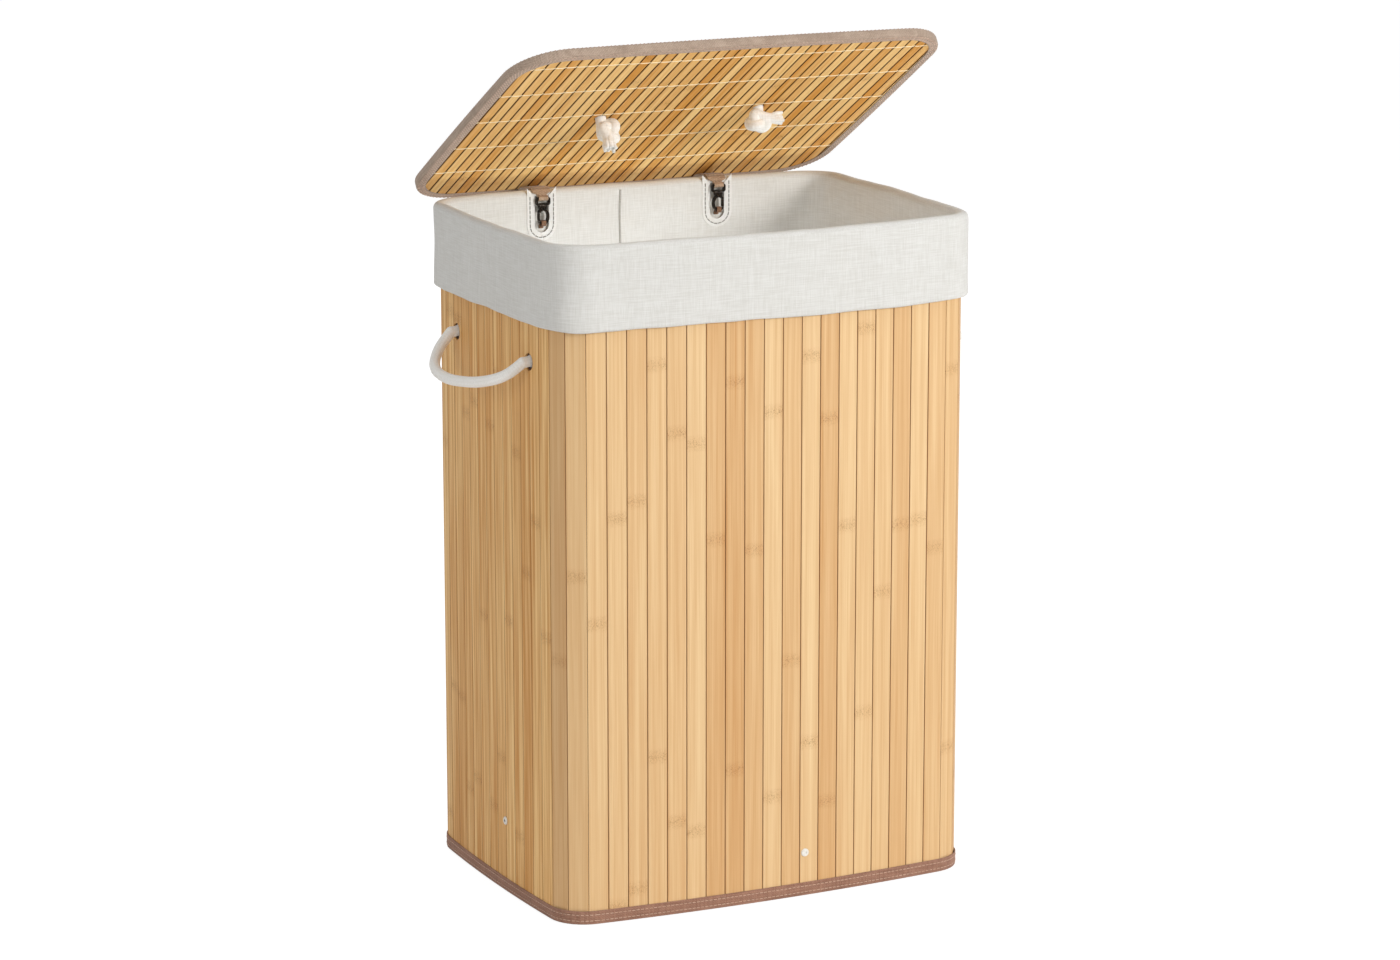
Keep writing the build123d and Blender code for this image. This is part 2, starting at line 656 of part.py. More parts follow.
def hook_body():
    """Oval snap hook with an open side for its gate, and the collar it turns in, at X = 0."""
    wide, tall = HOOK_WIDTH / 2, HOOK_HEIGHT / 2
    oval = Ellipse(wide, tall) - Ellipse(wide - HOOK_WIRE, tall - HOOK_WIRE)
    side = wide - GATE_INSET
    oval -= Pos(side, 0) * Rectangle(2 * side, GATE_LENGTH + 2 * HOOK_AIR)
    hook = extrude(Plane.XZ.offset(-HOOK_Y) * (Pos(0, HOOK_MIDDLE) * oval), HOOK_THICK / 2, both=True)
    collar = Pos(0, HOOK_Y, COLLAR_BOTTOM + COLLAR_HEIGHT / 2) * Cylinder(COLLAR_WIDTH / 2, COLLAR_HEIGHT)
    collar = chamfer(collar.edges().filter_by(GeomType.CIRCLE), HOOK_AIR)
    return hook + collar


def hook_gate():
    """Sprung gate that closes the side of the hook, hinged at its lower end."""
    bar = Pos(HOOK_WIDTH / 2 - GATE_INSET, HOOK_MIDDLE) * SlotOverall(GATE_LENGTH, GATE_WIDTH, rotation=90)
    return extrude(Plane.XZ.offset(-HOOK_Y) * bar, HOOK_THICK / 2 - HOOK_AIR, both=True)


def swivel_eye():
    """Flat eye above the collar that the strap passes through."""
    hole_width, hole_height = EYE_WIDTH - 2 * HOOK_WIRE, EYE_HEIGHT - 2 * HOOK_WIRE
    ring = RectangleRounded(EYE_WIDTH, EYE_HEIGHT, HOOK_WIRE) - Rectangle(hole_width, hole_height)
    middle = EYE_BOTTOM + EYE_HEIGHT / 2
    return extrude(Plane.XZ.offset(-HOOK_Y) * (Pos(0, middle) * ring), HOOK_WIRE / 2, both=True)


def wall_tab(x):
    """Webbing tab that holds the foot of the hook to the wall inside the notch."""
    width = HOOK_THICK + 2 * HOOK_AIR + TAB_THICK
    reach = TAB_WIDTH / (HOOK_WIDTH - 2 * HOOK_WIRE)
    inner_top = HOOK_MIDDLE - (HOOK_HEIGHT / 2 - HOOK_WIRE) * sqrt(1 - reach**2) + HOOK_AIR
    inner_height = inner_top - HOOK_BOTTOM + HOOK_AIR
    loop = RectangleRounded(width + TAB_THICK, inner_height + 2 * TAB_THICK, TAB_THICK)
    loop -= Rectangle(width - TAB_THICK, inner_height)
    loop_middle = inner_top - inner_height / 2
    wall = back_y(BODY_ARCS, x) - WALL_DEPTH - TOP_TAPE_THICK - 2 * SEAT
    tail = Polyline(
        (HOOK_Y + width / 2, loop_middle),
        (wall - TAB_THICK, HOOK_BOTTOM - HOOK_WIRE / 2),
        (wall - TAB_THICK, NOTCH_BOTTOM + TAB_LIFT),
    )
    section = Pos(HOOK_Y, loop_middle) * loop + trace(tail, TAB_THICK)
    return webbing(x, section, TAB_WIDTH)


# ---- all pieces ------------------------------------------------------------------------------
def both_sides(name, make):
    """Left and right copies of what make(x) gives, each in a node of its own."""
    return {name + "_left": make(-NOTCH_X), name + "_right": make(NOTCH_X)}


def hook_pair(name, piece):
    """A hook's part on the right, and its mirror image on the left."""
    right = Pos(NOTCH_X, 0, 0) * piece
    return {name + "_left": mirror_x(right), name + "_right": right}


def assembly():
    """Every node of the hamper."""
    nodes = dict(wall_slats())
    nodes["wall_backing"] = wall_backing()
    nodes["bottom_binding"] = bottom_binding()
    nodes["top_binding"] = top_binding()
    nodes["base_tray"] = base_tray()
    nodes["base_board"] = base_board()
    nodes["rivets"] = rivets()
    nodes["liner"] = liner()
    nodes.update(both_sides("notch_facing", notch_facing))
    nodes.update(both_sides("sewn_strap", sewn_strap))
    nodes.update(both_sides("hinge_strap", hinge_strap))
    nodes.update(both_sides("wall_tab", wall_tab))
    nodes.update(hook_pair("hook_body", hook_body()))
    nodes.update(hook_pair("hook_gate", hook_gate()))
    nodes.update(hook_pair("swivel_eye", swivel_eye()))
    loop = rope_loop()
    for name, side in (("left", -1), ("right", 1)):
        nodes["handle_rope_" + name] = side_handle(loop, side)
        nodes["handle_knots_" + name] = side_knots(side)
    nodes["lid_binding"] = LID_POSE * lid_binding()
    nodes["lid_core"] = LID_POSE * lid_core()
    nodes["lid_slats"] = LID_POSE * strips(LID_SLATS_Z, SLAT_THICK, LID_SLAT_PITCH, SLAT_GAP, False)
    sticks = strips(LID_STICKS_Z, LID_STICK_THICK, LID_STICK_PITCH, LID_STICK_GAP, True)
    nodes["lid_sticks"] = LID_POSE * sticks
    nodes["lid_handle_rope"] = LID_POSE * lid_handle(loop)
    nodes["lid_knots"] = LID_POSE * lid_knots()
    return nodes


os.makedirs("parts", exist_ok=True)
for node_name, node in assembly().items():
    export_step(node, "parts/" + node_name + ".step")
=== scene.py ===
# %% [markdown]
# # A laundry hamper with a lid
#
# This notebook-style script builds the visual model of a tall bamboo laundry hamper. The walls
# are flat bamboo slats glued to cloth, the lining is a linen bag that rolls over the rim, and
# the lid is tipped back on two webbing straps. Rope loops serve as handles. The plain engineering
# model comes in first and gives every piece its exact place. Cloth, tape, webbing and rope are
# then made anew here, because fabric needs thickness, folds and stitches that a plain solid lacks.

import bpy
import random
from math import asin, atan2, cos, pi, radians, sin, sqrt, tan
from mathutils import Matrix, Vector


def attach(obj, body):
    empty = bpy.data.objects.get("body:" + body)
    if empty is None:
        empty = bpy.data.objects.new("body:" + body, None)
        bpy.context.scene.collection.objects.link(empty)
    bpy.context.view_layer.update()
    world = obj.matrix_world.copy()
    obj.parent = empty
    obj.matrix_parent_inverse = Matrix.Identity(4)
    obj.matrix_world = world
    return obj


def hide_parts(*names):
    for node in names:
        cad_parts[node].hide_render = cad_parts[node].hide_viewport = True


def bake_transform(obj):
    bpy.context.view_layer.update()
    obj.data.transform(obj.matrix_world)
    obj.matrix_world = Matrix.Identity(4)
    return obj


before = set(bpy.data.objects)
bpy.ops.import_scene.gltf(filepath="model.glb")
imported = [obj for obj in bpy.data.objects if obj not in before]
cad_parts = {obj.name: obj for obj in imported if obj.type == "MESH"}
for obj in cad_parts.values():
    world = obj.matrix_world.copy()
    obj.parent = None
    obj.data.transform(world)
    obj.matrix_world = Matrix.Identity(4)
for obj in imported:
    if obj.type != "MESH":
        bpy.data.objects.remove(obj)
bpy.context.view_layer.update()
print("pieces that came in:", len(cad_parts))

# %% [markdown]
# ## The camera
#
# A long lens from some way off keeps the upright slats nearly parallel, as in a catalogue
# picture. The camera looks from the front and a little from the left and above. Its place is
# worked out from the point it looks at, the direction and the distance.


# %% Camera
def add_object(name, data):
    """Object that shows this data, put into the scene."""
    thing = bpy.data.objects.new(name, data)
    bpy.context.scene.collection.objects.link(thing)
    return thing


LOOK_BACK = Vector((-0.42955, -0.87601, 0.21934))
LOOK_RIGHT = Vector((0.8979, -0.4403, 0.0))
LOOK_UP = Vector((0.09657, 0.19694, 0.9757))
CAMERA_DISTANCE = 3.9092
LOOK_AT = Vector((0, 0, 0.330)) + LOOK_RIGHT * 0.00052 + LOOK_UP * 0.01341
lens = bpy.data.cameras.new("catalogue_camera")
lens.lens = 113.96
lens.sensor_width = 36
camera = add_object("catalogue_camera", lens)
camera_turn = Matrix((LOOK_RIGHT, LOOK_UP, LOOK_BACK)).transposed().to_4x4()
camera.matrix_world = Matrix.Translation(LOOK_AT + LOOK_BACK * CAMERA_DISTANCE) @ camera_turn
bpy.context.scene.camera = camera
bpy.context.scene.view_settings.view_transform = "Standard"
print("camera stands at", [round(v, 3) for v in camera.location])

# %% [markdown]
# ## Routes of the rope handles
#
# Each handle is the same loop of soft cotton rope: it leaves one hole, sags a little under its
# own weight and goes back into the next hole. A smooth curve through a few guide points draws
# that hang well. The points are given as distance out from the face, along the span and upwards,
# so that one list serves the left wall, the right wall and the lid.

# %% Hang of a rope loop
ROPE = 0.0095
HANDLE_Z = 0.4805
HANDLE_HALF = 0.077
ROPE_OUT = 0.00525
WALL_FACE_X = 0.197639
LID_HANDLE_Y = -0.011
LID_THICK = 0.008
HANGING_LOOP = [
    (ROPE_OUT, HANDLE_HALF, 0.0), (0.015, 0.075, -0.009), (0.0235, 0.068, -0.0175),
    (0.030, 0.057, -0.024), (0.0335, 0.042, -0.027), (0.0355, 0.0235, -0.0275),
    (0.0365, 0.002, -0.0265), (0.0355, -0.0195, -0.024), (0.0335, -0.0385, -0.0215),
    (0.030, -0.0545, -0.018), (0.0235, -0.067, -0.014), (0.0145, -0.0745, -0.008),
    (ROPE_OUT, -HANDLE_HALF, 0.0),
]
print("guide points of a hanging loop:", len(HANGING_LOOP))

# %% [markdown]
# The lid is modelled flat, with its underside at height 0, and then tipped back about its rear.
# One matrix does that. It is needed here already, because one of the three loops hangs on the
# lid. Each loop is a curve of its own, so that it can be drawn and thickened later.

# %% The tipped lid and the three loops
LID_ANGLE = 30.3
LID_PIVOT = Vector((0, 0.1489, 0.538))
LID_CLOSED_Z = 0.5906
lid_place = (
    Matrix.Translation(LID_PIVOT)
    @ Matrix.Rotation(radians(-LID_ANGLE), 4, "X")
    @ Matrix.Translation((0, -LID_PIVOT.y, LID_CLOSED_Z - LID_PIVOT.z))
)


def draw_line(name, points, closed=False, kind="POLY"):
    """Curve through the points, in straight runs unless another kind is asked for."""
    curve = bpy.data.curves.new(name, "CURVE")
    curve.dimensions = "3D"
    spline = curve.splines.new(kind)
    spline.points.add(len(points) - 1)
    for guide, point in zip(spline.points, points):
        guide.co = (*point, 1)
    spline.use_cyclic_u = closed
    return add_object(name, curve)


def rope_curve(name, points):
    """Smooth open curve guided by the points, as a flexible rope would lie."""
    path = draw_line(name, points, kind="NURBS")
    spline = path.data.splines[0]
    spline.order_u = 3
    spline.use_endpoint_u = True
    spline.resolution_u = 6
    return path


loop_places = {
    "left": lambda out, along, up: Vector((-WALL_FACE_X - out, along, HANDLE_Z + up)),
    "right": lambda out, along, up: Vector((WALL_FACE_X + out, along, HANDLE_Z + up)),
    "lid": lambda out, along, up: lid_place @ Vector((-along, LID_HANDLE_Y - up, LID_THICK + out)),
}
loop_curves = {
    side: rope_curve(side + "_handle_loop", [place(*point) for point in HANGING_LOOP])
    for side, place in loop_places.items()
}
SIDES = {"left": -1, "right": 1}
ENDS = {"front": -HANDLE_HALF, "back": HANDLE_HALF}
side_holes = [(side, end) for side in SIDES for end in ENDS]
print("rope loops drawn:", sorted(loop_curves), "holes in the side walls:", len(side_holes))

# %% [markdown]
# ## Small helpers for working on one piece at a time
#
# Nearly every step below selects one object, chooses some of its faces or edges by where they
# are, and then runs the same commands a modeller would run by hand. These helpers keep that
# short. Everything is deselected first, since the imported pieces arrive selected.


# %% Helpers for one piece
def only(piece):
    """Selects just this piece and makes it the active one."""
    if bpy.context.object and bpy.context.object.mode != "OBJECT":
        bpy.ops.object.mode_set(mode="OBJECT")
    bpy.ops.object.select_all(action="DESELECT")
    piece.select_set(True)
    bpy.context.view_layer.objects.active = piece
    return piece


def freeze():
    """Turns the active piece's place, turn and size into its mesh."""
    bpy.ops.object.transform_apply(location=True, rotation=True, scale=True)


def choose(piece, kind, test=lambda *at: True):
    """Opens the piece for editing, with its VERTs, EDGEs or FACEs chosen that pass the test.

    The test gets the middle of each part and, for faces, which way it looks.
    """
    only(piece)
    bpy.ops.object.mode_set(mode="EDIT")
    bpy.ops.mesh.select_mode(type=kind)
    bpy.ops.mesh.select_all(action="DESELECT")
    bpy.ops.object.mode_set(mode="OBJECT")
    mesh = piece.data
    if kind == "FACE":
        for face in mesh.polygons:
            face.select = test(face.center, face.normal)
    elif kind == "VERT":
        for vertex in mesh.vertices:
            vertex.select = test(vertex.co)
    else:
        for edge in mesh.edges:
            ends = [mesh.vertices[i].co for i in edge.vertices]
            edge.select = test((ends[0] + ends[1]) / 2)
    bpy.ops.object.mode_set(mode="EDIT")


def done_editing():
    """Turns all faces outwards and leaves edit mode."""
    bpy.ops.mesh.select_all(action="SELECT")
    bpy.ops.mesh.normals_make_consistent(inside=False)
    bpy.ops.object.mode_set(mode="OBJECT")


def finish_modifier(piece, kind, **settings):
    """Puts a modifier on the piece and applies it at once."""
    only(piece)
    modifier = piece.modifiers.new(kind.lower(), kind)
    for name, value in settings.items():
        setattr(modifier, name, value)
    bpy.ops.object.modifier_apply(modifier=modifier.name)


def settle(piece, name, body, finish, *stands_for):
    """Names a finished piece, freezes its place, gives its finish and hangs it on its body."""
    only(piece)
    freeze()
    piece.name = name
    piece.data.name = name
    piece.data.materials.clear()
    piece.data.materials.append(finish)
    if stands_for:
        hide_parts(*stands_for)
    if body:
        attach(piece, body)
    size = [round(d * 1000, 1) for d in piece.dimensions]
    print(name, len(piece.data.polygons), "faces, size in mm", size)
    return piece


# %% [markdown]
# ## Colours and shader nodes
#
# Colours are easiest to choose as the hex codes that any paint program shows. Blender mixes light
# in a linear scale, so one function turns the code into linear numbers. Another adds one shader
# node with its settings and inputs, which keeps each material down to a readable list of steps.


# %% Colours and shader nodes
def paint(code):
    """Linear colour of a hex code such as "e5c58f"."""
    parts = [int(code[i : i + 2], 16) / 255 for i in (0, 2, 4)]
    return tuple(((c + 0.055) / 1.055) ** 2.4 if c > 0.04045 else c / 12.92 for c in parts) + (1.0,)


def new_finish(name):
    """New material, its surface shader and its object coordinates; the next nodes go into it."""
    global tree
    material = bpy.data.materials.new(name)
    material.use_nodes = True
    tree = material.node_tree
    surface = tree.nodes["Principled BSDF"]
    return material, surface, add_node("TexCoord", out="Object")


def add_node(kind, inputs=(), out=0, **settings):
    """Adds one shader node with its settings and links, and gives one of its results.

    Inputs are plain values or results of other nodes, in the order of the sockets or by name.
    """
    node = tree.nodes.new("ShaderNode" + kind)
    for name, value in settings.items():
        setattr(node, name, value)
    by_socket = inputs if isinstance(inputs, dict) else dict(enumerate(inputs))
    for key, value in by_socket.items():
        if isinstance(value, bpy.types.NodeSocket):
            tree.links.new(value, node.inputs[key])
        else:
            node.inputs[key].default_value = value
    return node.outputs[out]


def grain(place, scale, detail=2.0, distortion=0.0):
    """Cloudy noise stretched by a scale per direction, in features per millimetre."""
    per_metre = [s * 1000 for s in scale]
    stretched = add_node("Mapping", {"Vector": place, "Scale": per_metre})
    look = {"Vector": stretched, "Scale": 1.0, "Detail": detail, "Distortion": distortion}
    return add_node("TexNoise", look, "Fac")


def coat(surface, colour, relief=None, strength=0.5, depth=0.0003):
    """Gives the surface its colour and, if there is one, its relief."""
    tree.links.new(colour, surface.inputs["Base Color"])
    if relief:
        bump = {"Strength": strength, "Distance": depth, "Height": relief}
        tree.links.new(add_node("Bump", bump), surface.inputs["Normal"])


def dress(finish, *nodes):
    """Gives pieces that keep their own shape this finish."""
    for node in nodes:
        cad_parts[node].data.materials[0] = finish


print("a bamboo colour in linear numbers:", [round(part, 3) for part in paint("e5c58f")])

# %% [markdown]
# ## Bamboo
#
# Each slat is split from the wall of a bamboo cane. That gives three things to the eye: long fine
# fibres, a tone of its own for every slat, and a scar across it where the cane had a joint. The
# material counts slats from one edge to the next, and the number of the slat picks its tone and
# the height of its scar. A darker line along both edges is painted shade, for the shadow in the
# gap between two strips. The same recipe serves the walls, the top of the lid and the narrow
# sticks under it, with other widths and colours.


# %% Bamboo recipe
# Features per millimetre across the strip (twice) and along it.
FINE_FIBRES = (1.9, 1.9, 0.012)
BROAD_BANDS = (0.28, 0.28, 0.004)
FLECKS = (1.05, 1.05, 0.8)


def bamboo(
    name, across, seam, pitch, seed, colours, scar_every=0.34, turn=0.0,
    edge=0.0007, gap=0.6, streaks=1.0, spread=0.5, gleam=0.3,
):
    """Bamboo cut into strips of one pitch; across is their direction, seam the place of one gap.

    Edge is how wide the painted shade along a gap is and gap how dark it is. Streaks and spread
    say how much the fibres of one strip, and one strip and the next, differ in tone.
    """
    material, surface, place = new_finish(name)
    pale, deep, scar_and_shade_brown = [paint(code) for code in colours]
    level = add_node("Mapping", {"Vector": place, "Rotation": (turn, 0, 0)})

    # The strip that a point lies on, how far from its middle, and the strip's draws of chance.
    span = add_node("VectorMath", (level, (*across, 0)), "Value", operation="DOT_PRODUCT")
    count = add_node("Math", (span, 1 / pitch, -seam / pitch), operation="MULTIPLY_ADD")
    within = add_node("Math", (count,), operation="FRACT")
    past_middle = add_node("Math", (within, 0.5), operation="SUBTRACT")
    from_middle = add_node("Math", (past_middle,), operation="ABSOLUTE")
    number = add_node("Math", (count,), operation="FLOOR")
    key = add_node("CombineXYZ", (number, seed))
    chance = add_node("TexWhiteNoise", {"Vector": key}, "Color", noise_dimensions="2D")
    draws = add_node("SeparateColor", (chance,)).node.outputs

    # Fine fibres and broad bands along the strip, slid by chance so that no two are alike.
    shift = add_node("CombineXYZ", (0.0, 0.0, draws[0]))
    own = add_node("VectorMath", (level, shift), operation="ADD")
    fine = grain(own, FINE_FIBRES, 3.0)
    broad = grain(own, BROAD_BANDS, 2.0)
    fibres = add_node("MapRange", (fine, 0.3, 0.7))
    bands = add_node("MapRange", (broad, 0.3, 0.7))

    # A flecked scar, at a height of its own on each strip.
    height = add_node("SeparateXYZ", (level,), "Z")
    turns = add_node("Math", (height, 1 / scar_every, draws[1]), operation="MULTIPLY_ADD")
    part_turn = add_node("Math", (turns,), operation="FRACT")
    beside = add_node("Math", (part_turn, 0.5), operation="SUBTRACT")
    off = add_node("Math", (beside,), operation="ABSOLUTE")
    off_scar = add_node("Math", (off, scar_every), operation="MULTIPLY")
    near_scar = add_node("MapRange", (off_scar, 0.0010, 0.0080, 1.0, 0.0))
    patches = grain(own, FLECKS, 3.0, distortion=1.6)
    flecks = add_node("MapRange", (patches, 0.50, 0.66))
    scar = add_node("Math", (near_scar, flecks), operation="MULTIPLY")

    # The tone from pale to deep, then the scar and the painted shade of the gaps on top of it.
    tone = add_node("Math", (draws[2], 1.6), operation="POWER")
    depth = add_node("Math", (tone, spread, 0.35 - 0.30 * streaks), operation="MULTIPLY_ADD")
    for layer, weight in ((fibres, 0.42 * streaks), (bands, 0.46 * streaks), (near_scar, 0.08)):
        depth = add_node("Math", (layer, weight, depth), operation="MULTIPLY_ADD")
    share = add_node("MapRange", (depth, 0.12, 1.40))
    body = add_node("Mix", {0: share, 6: pale, 7: deep}, 2, data_type="RGBA")
    share = add_node("Math", (scar, 0.65), operation="MULTIPLY")
    scarred = add_node("Mix", {0: share, 6: body, 7: scar_and_shade_brown}, 2, data_type="RGBA")
    # Painted shade: a darker line along both edges of a strip, for the shadow in the gap.
    gap_shade_mask = add_node("MapRange", (from_middle, 0.5 - edge / pitch, 0.5 - 0.3 * edge / pitch))
    share = add_node("Math", (gap_shade_mask, gap), operation="MULTIPLY")
    gap_shaded = add_node("Mix", {0: share, 6: scarred, 7: scar_and_shade_brown}, 2, data_type="RGBA")
    relief = add_node("Math", (scar, -0.8, fine), operation="MULTIPLY_ADD")
    coat(surface, gap_shaded, relief, strength=0.25)
    gloss = add_node("MapRange", (fine, 0.3, 0.7, 0.42, 0.58))
    tree.links.new(gloss, surface.inputs["Roughness"])
    surface.inputs["Specular IOR Level"].default_value = gleam
    return material


print("fibres in mm, wide and long:", [round(1 / FINE_FIBRES[i], 1) for i in (0, 2)])

# %% [markdown]
# The walls are eight runs of slats at one pitch: four flat ones and four round the corners. A run
# needs to know only which way its slats follow each other and where one gap lies. On a flat wall
# that is plain. A corner run follows the line between its first and its last gap, and the middle
# gap gives the place. Light meets the left wall at a slant and washes its grain out, so that wall
# gets a shaded copy of the bamboo: warmer colours, which are painted shade, and stronger streaks.

# %% Slats of the walls
WALL_COLOURS = ("ebcb9a", "cb965c", "935a2a")
LEFT_SHADE_COLOURS = ("f8d090", "cd9049", "7c4820")
SLAT_PITCH = 0.01801
SLAT_SEAM = 0.006
slat_runs = {
    "front_slats": ((1, 0), SLAT_SEAM),
    "back_slats": ((1, 0), -SLAT_SEAM),
    "left_slats": ((0, 1), -SLAT_SEAM),
    "right_slats": ((0, 1), SLAT_SEAM),
}
# Gaps of the two front corners as (x, y). Those of the back corners lie across the middle.
corner_gaps = (
    ((-0.1957, -0.1140), (-0.1885, -0.1302), (-0.1737, -0.1401)),
    ((0.1678, -0.1414), (0.1842, -0.1344), (0.1943, -0.1198)),
)
for sign, corners in ((1, ("front_left", "front_right")), (-1, ("back_right", "back_left"))):
    for corner, (first, middle, last) in zip(corners, corner_gaps):
        chord = (Vector(last) - Vector(first)).normalized() * sign
        slat_runs[corner + "_corner_slats"] = (tuple(chord), Vector(middle).dot(chord) * sign)
for seed, (node, (across, seam)) in enumerate(slat_runs.items()):
    colours, looks = WALL_COLOURS, {}
    # The left wall is a shaded copy of the bamboo: its warmer colours are painted shade.
    if node == "left_slats":
        colours, looks = LEFT_SHADE_COLOURS, {"streaks": 2.7, "gap": 0.85}
    name = "bamboo_" + node
    dress(bamboo(name, across, seam, SLAT_PITCH, 3.0 + seed, colours, **looks), node)
print("wall slats finished:", len(slat_runs), "runs")

# %% [markdown]
# The lid lies tipped back, so its pattern is first turned level and then stood upright. After
# that its strips run along the same direction as those of the walls.

# %% Bamboo strips of the lid
LID_TURN = radians(LID_ANGLE + 90)
LID_HALF = 0.20465
STICK_PITCH = LID_HALF / 21
# Painted light and shade: the sticks' pale is brighter than the walls' to light the shaded
# underside of the lid, and their near-black brown is painted shade in the grooves.
LIT_AND_SHADED_STICK_COLOURS = ("fcd693", "d49240", "47200a")
lid_top = bamboo(
    "bamboo_lid_top", (1, 0), 0.0, LID_HALF / 11, 21.0, WALL_COLOURS, turn=LID_TURN, gap=0.5
)
lid_sticks = bamboo(
    "bamboo_lid_sticks", (1, 0), 0.0, STICK_PITCH, 23.0, LIT_AND_SHADED_STICK_COLOURS,
    scar_every=0.6, turn=LID_TURN, edge=0.0013, gap=1.0, spread=0.85, gleam=0.04,
)
dress(lid_top, "lid_slats")
dress(lid_sticks, "lid_sticks")
print("lid strips of top and underside finished:", lid_top.name, lid_sticks.name)

# %% [markdown]
# ## Linen, tape, webbing and cotton
#
# Woven cloth is a grid of threads that are never quite even. Two noises do that: one drawn out
# upright, for the threads that run up, and one drawn out level, for those that run across. Where
# both are thick a small slub shows. The lining is undyed linen, a light warm grey. The tape that
# binds the edges is a denser twill in a dusty brown, so it gets diagonal ribs as well.


# %% Cloths, tapes and threads
def woven(name, light, dark, thread, turn=0.0, depth=0.0002, rib=0.0):
    """Cloth whose threads are this many millimetres wide, mottled between two colours.

    Rib, if given, is how many millimetres its diagonal ribs are apart.
    """
    material, surface, place = new_finish(name)
    level = add_node("Mapping", {"Vector": place, "Rotation": (turn, 0, 0)})
    fine = 0.5 / thread
    upright = grain(level, (fine, fine, fine * 0.04), 2.0)
    across = grain(level, (fine * 0.04, fine * 0.04, fine), 2.0)
    height = weave = add_node("Math", (upright, across), operation="ADD")
    shade = add_node("MapRange", (weave, 0.75, 1.25))
    if rib:
        wave = {"Vector": level, "Scale": 0.314 / rib * 1000, "Distortion": 0.6}
        ribs = add_node("TexWave", wave, "Fac", bands_direction="DIAGONAL")
        height = add_node("Math", (ribs, 0.5, weave), operation="MULTIPLY_ADD")
        shade = add_node("Math", (shade, 0.75), operation="MULTIPLY")
        shade = add_node("Math", (ribs, 0.25, shade), operation="MULTIPLY_ADD")
    cloud = add_node("MapRange", (grain(level, (0.02, 0.02, 0.02), 2.0), 0.3, 0.7))
    shade = add_node("Math", (cloud, -0.15, shade), operation="MULTIPLY_ADD")
    colour = add_node("Mix", {0: shade, 6: paint(dark), 7: paint(light)}, 2, data_type="RGBA")
    coat(surface, colour, height, depth=depth)
    surface.inputs["Roughness"].default_value = 0.92
    surface.inputs["Sheen Weight"].default_value = 0.15
    return material


linen = woven("liner_linen", "dddcd8", "cfcdc7", 0.36)
smooth_linen = woven("facing_linen", "e6e5e2", "dbd9d4", 0.28)
wall_tape = woven("taupe_tape", "b0856f", "865f4c", 0.35, rib=1.1)
lid_tape = woven("taupe_lid_tape", "c0aa97", "95806f", 0.35, turn=LID_TURN, rib=1.1)
webbing = woven("taupe_webbing", "c0a58c", "85694f", 0.5, rib=1.6)
brown_webbing = woven("brown_webbing", "8f6a50", "5f432f", 0.5, rib=1.6)
# The top tape is a pale cloth made lighter still as painted light, so it reads white in the shade
# of the openings behind the hooks.
pale_tape_painted_light = woven("pale_tape_painted_light", "eceae4", "d5d1c8", 0.35, rib=1.1)
backing = woven("backing_cloth", "563015", "361c0b", 0.5)
hidden_tray = woven("tray_cloth", "8d8273", "6d6457", 0.5)
seam_grey = woven("grey_seam", "bcb9b2", "9c9992", 0.2)
thread_grey = woven("grey_thread", "8b8880", "67645d", 0.2)
thread_taupe = woven("taupe_thread", "e6c9b4", "c09c86", 0.2)
thread_pale = woven("pale_thread", "fff0cc", "efd6a6", 0.2)
dress(backing, "wall_backing")
dress(hidden_tray, "base_tray")
print("cloths, tapes and threads ready; first of them", linen.name)

# %% [markdown]
# Steel, plastic and board are plainer. The hooks are dark plated steel with soft wear, the rivets
# are white moulded plastic, and the base board is pressed fibre board with a faint speckle. The
# core of the lid is hardboard in a very dark brown, which is painted shade: it shows in the gaps
# between the sticks as their shadow.


# %% Steel, plastic and board
def speckled(name, light, dark, size, roughness, metal=0.0):
    """Hard material with a faint speckle whose grains are this many millimetres wide."""
    material, surface, place = new_finish(name)
    speck = grain(place, (1 / size, 1 / size, 1 / size), 3.0)
    share = add_node("MapRange", (speck, 0.35, 0.65))
    colour = add_node("Mix", {0: share, 6: paint(light), 7: paint(dark)}, 2, data_type="RGBA")
    coat(surface, colour)
    rough = add_node("MapRange", (speck, 0.3, 0.7, roughness - 0.06, roughness + 0.06))
    tree.links.new(rough, surface.inputs["Roughness"])
    surface.inputs["Metallic"].default_value = metal
    return material


dark_steel = speckled("dark_steel", "453f3a", "1f1c1a", 1.2, 0.26, 1.0)
white_plastic = speckled("rivet_plastic", "f0eee8", "e2dfd6", 2.0, 0.38)
fibre_board = speckled("fibre_board", "b5946a", "94744c", 0.8, 0.85)
# Painted shade: the lid's core is dark brown so that the gaps between the sticks read as shadow.
gap_shade_board = speckled("shade_brown_hardboard", "4e2c10", "371c08", 0.8, 0.95)
hook_parts = [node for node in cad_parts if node.startswith(("hook_", "swivel_"))]
dress(dark_steel, *hook_parts)
dress(white_plastic, "rivets")
dress(fibre_board, "base_board")
dress(gap_shade_board, "lid_core")
print("steel parts of the hooks:", hook_parts)

# %% [markdown]
# ## Carrying a section along a path
#
# The lining, the tapes and the threads all keep one cross section along a long route. A curve does
# this well: the route is drawn once, the section is drawn once, and the section is set as the
# route's bevel object. Turned into a mesh, it becomes an ordinary piece that can be cut, thickened
# and creased.


# %% Sections carried along a path
def to_mesh(piece):
    """Turns a curve into an ordinary mesh, still selected."""
    only(piece)
    bpy.ops.object.convert(target="MESH")
    return piece


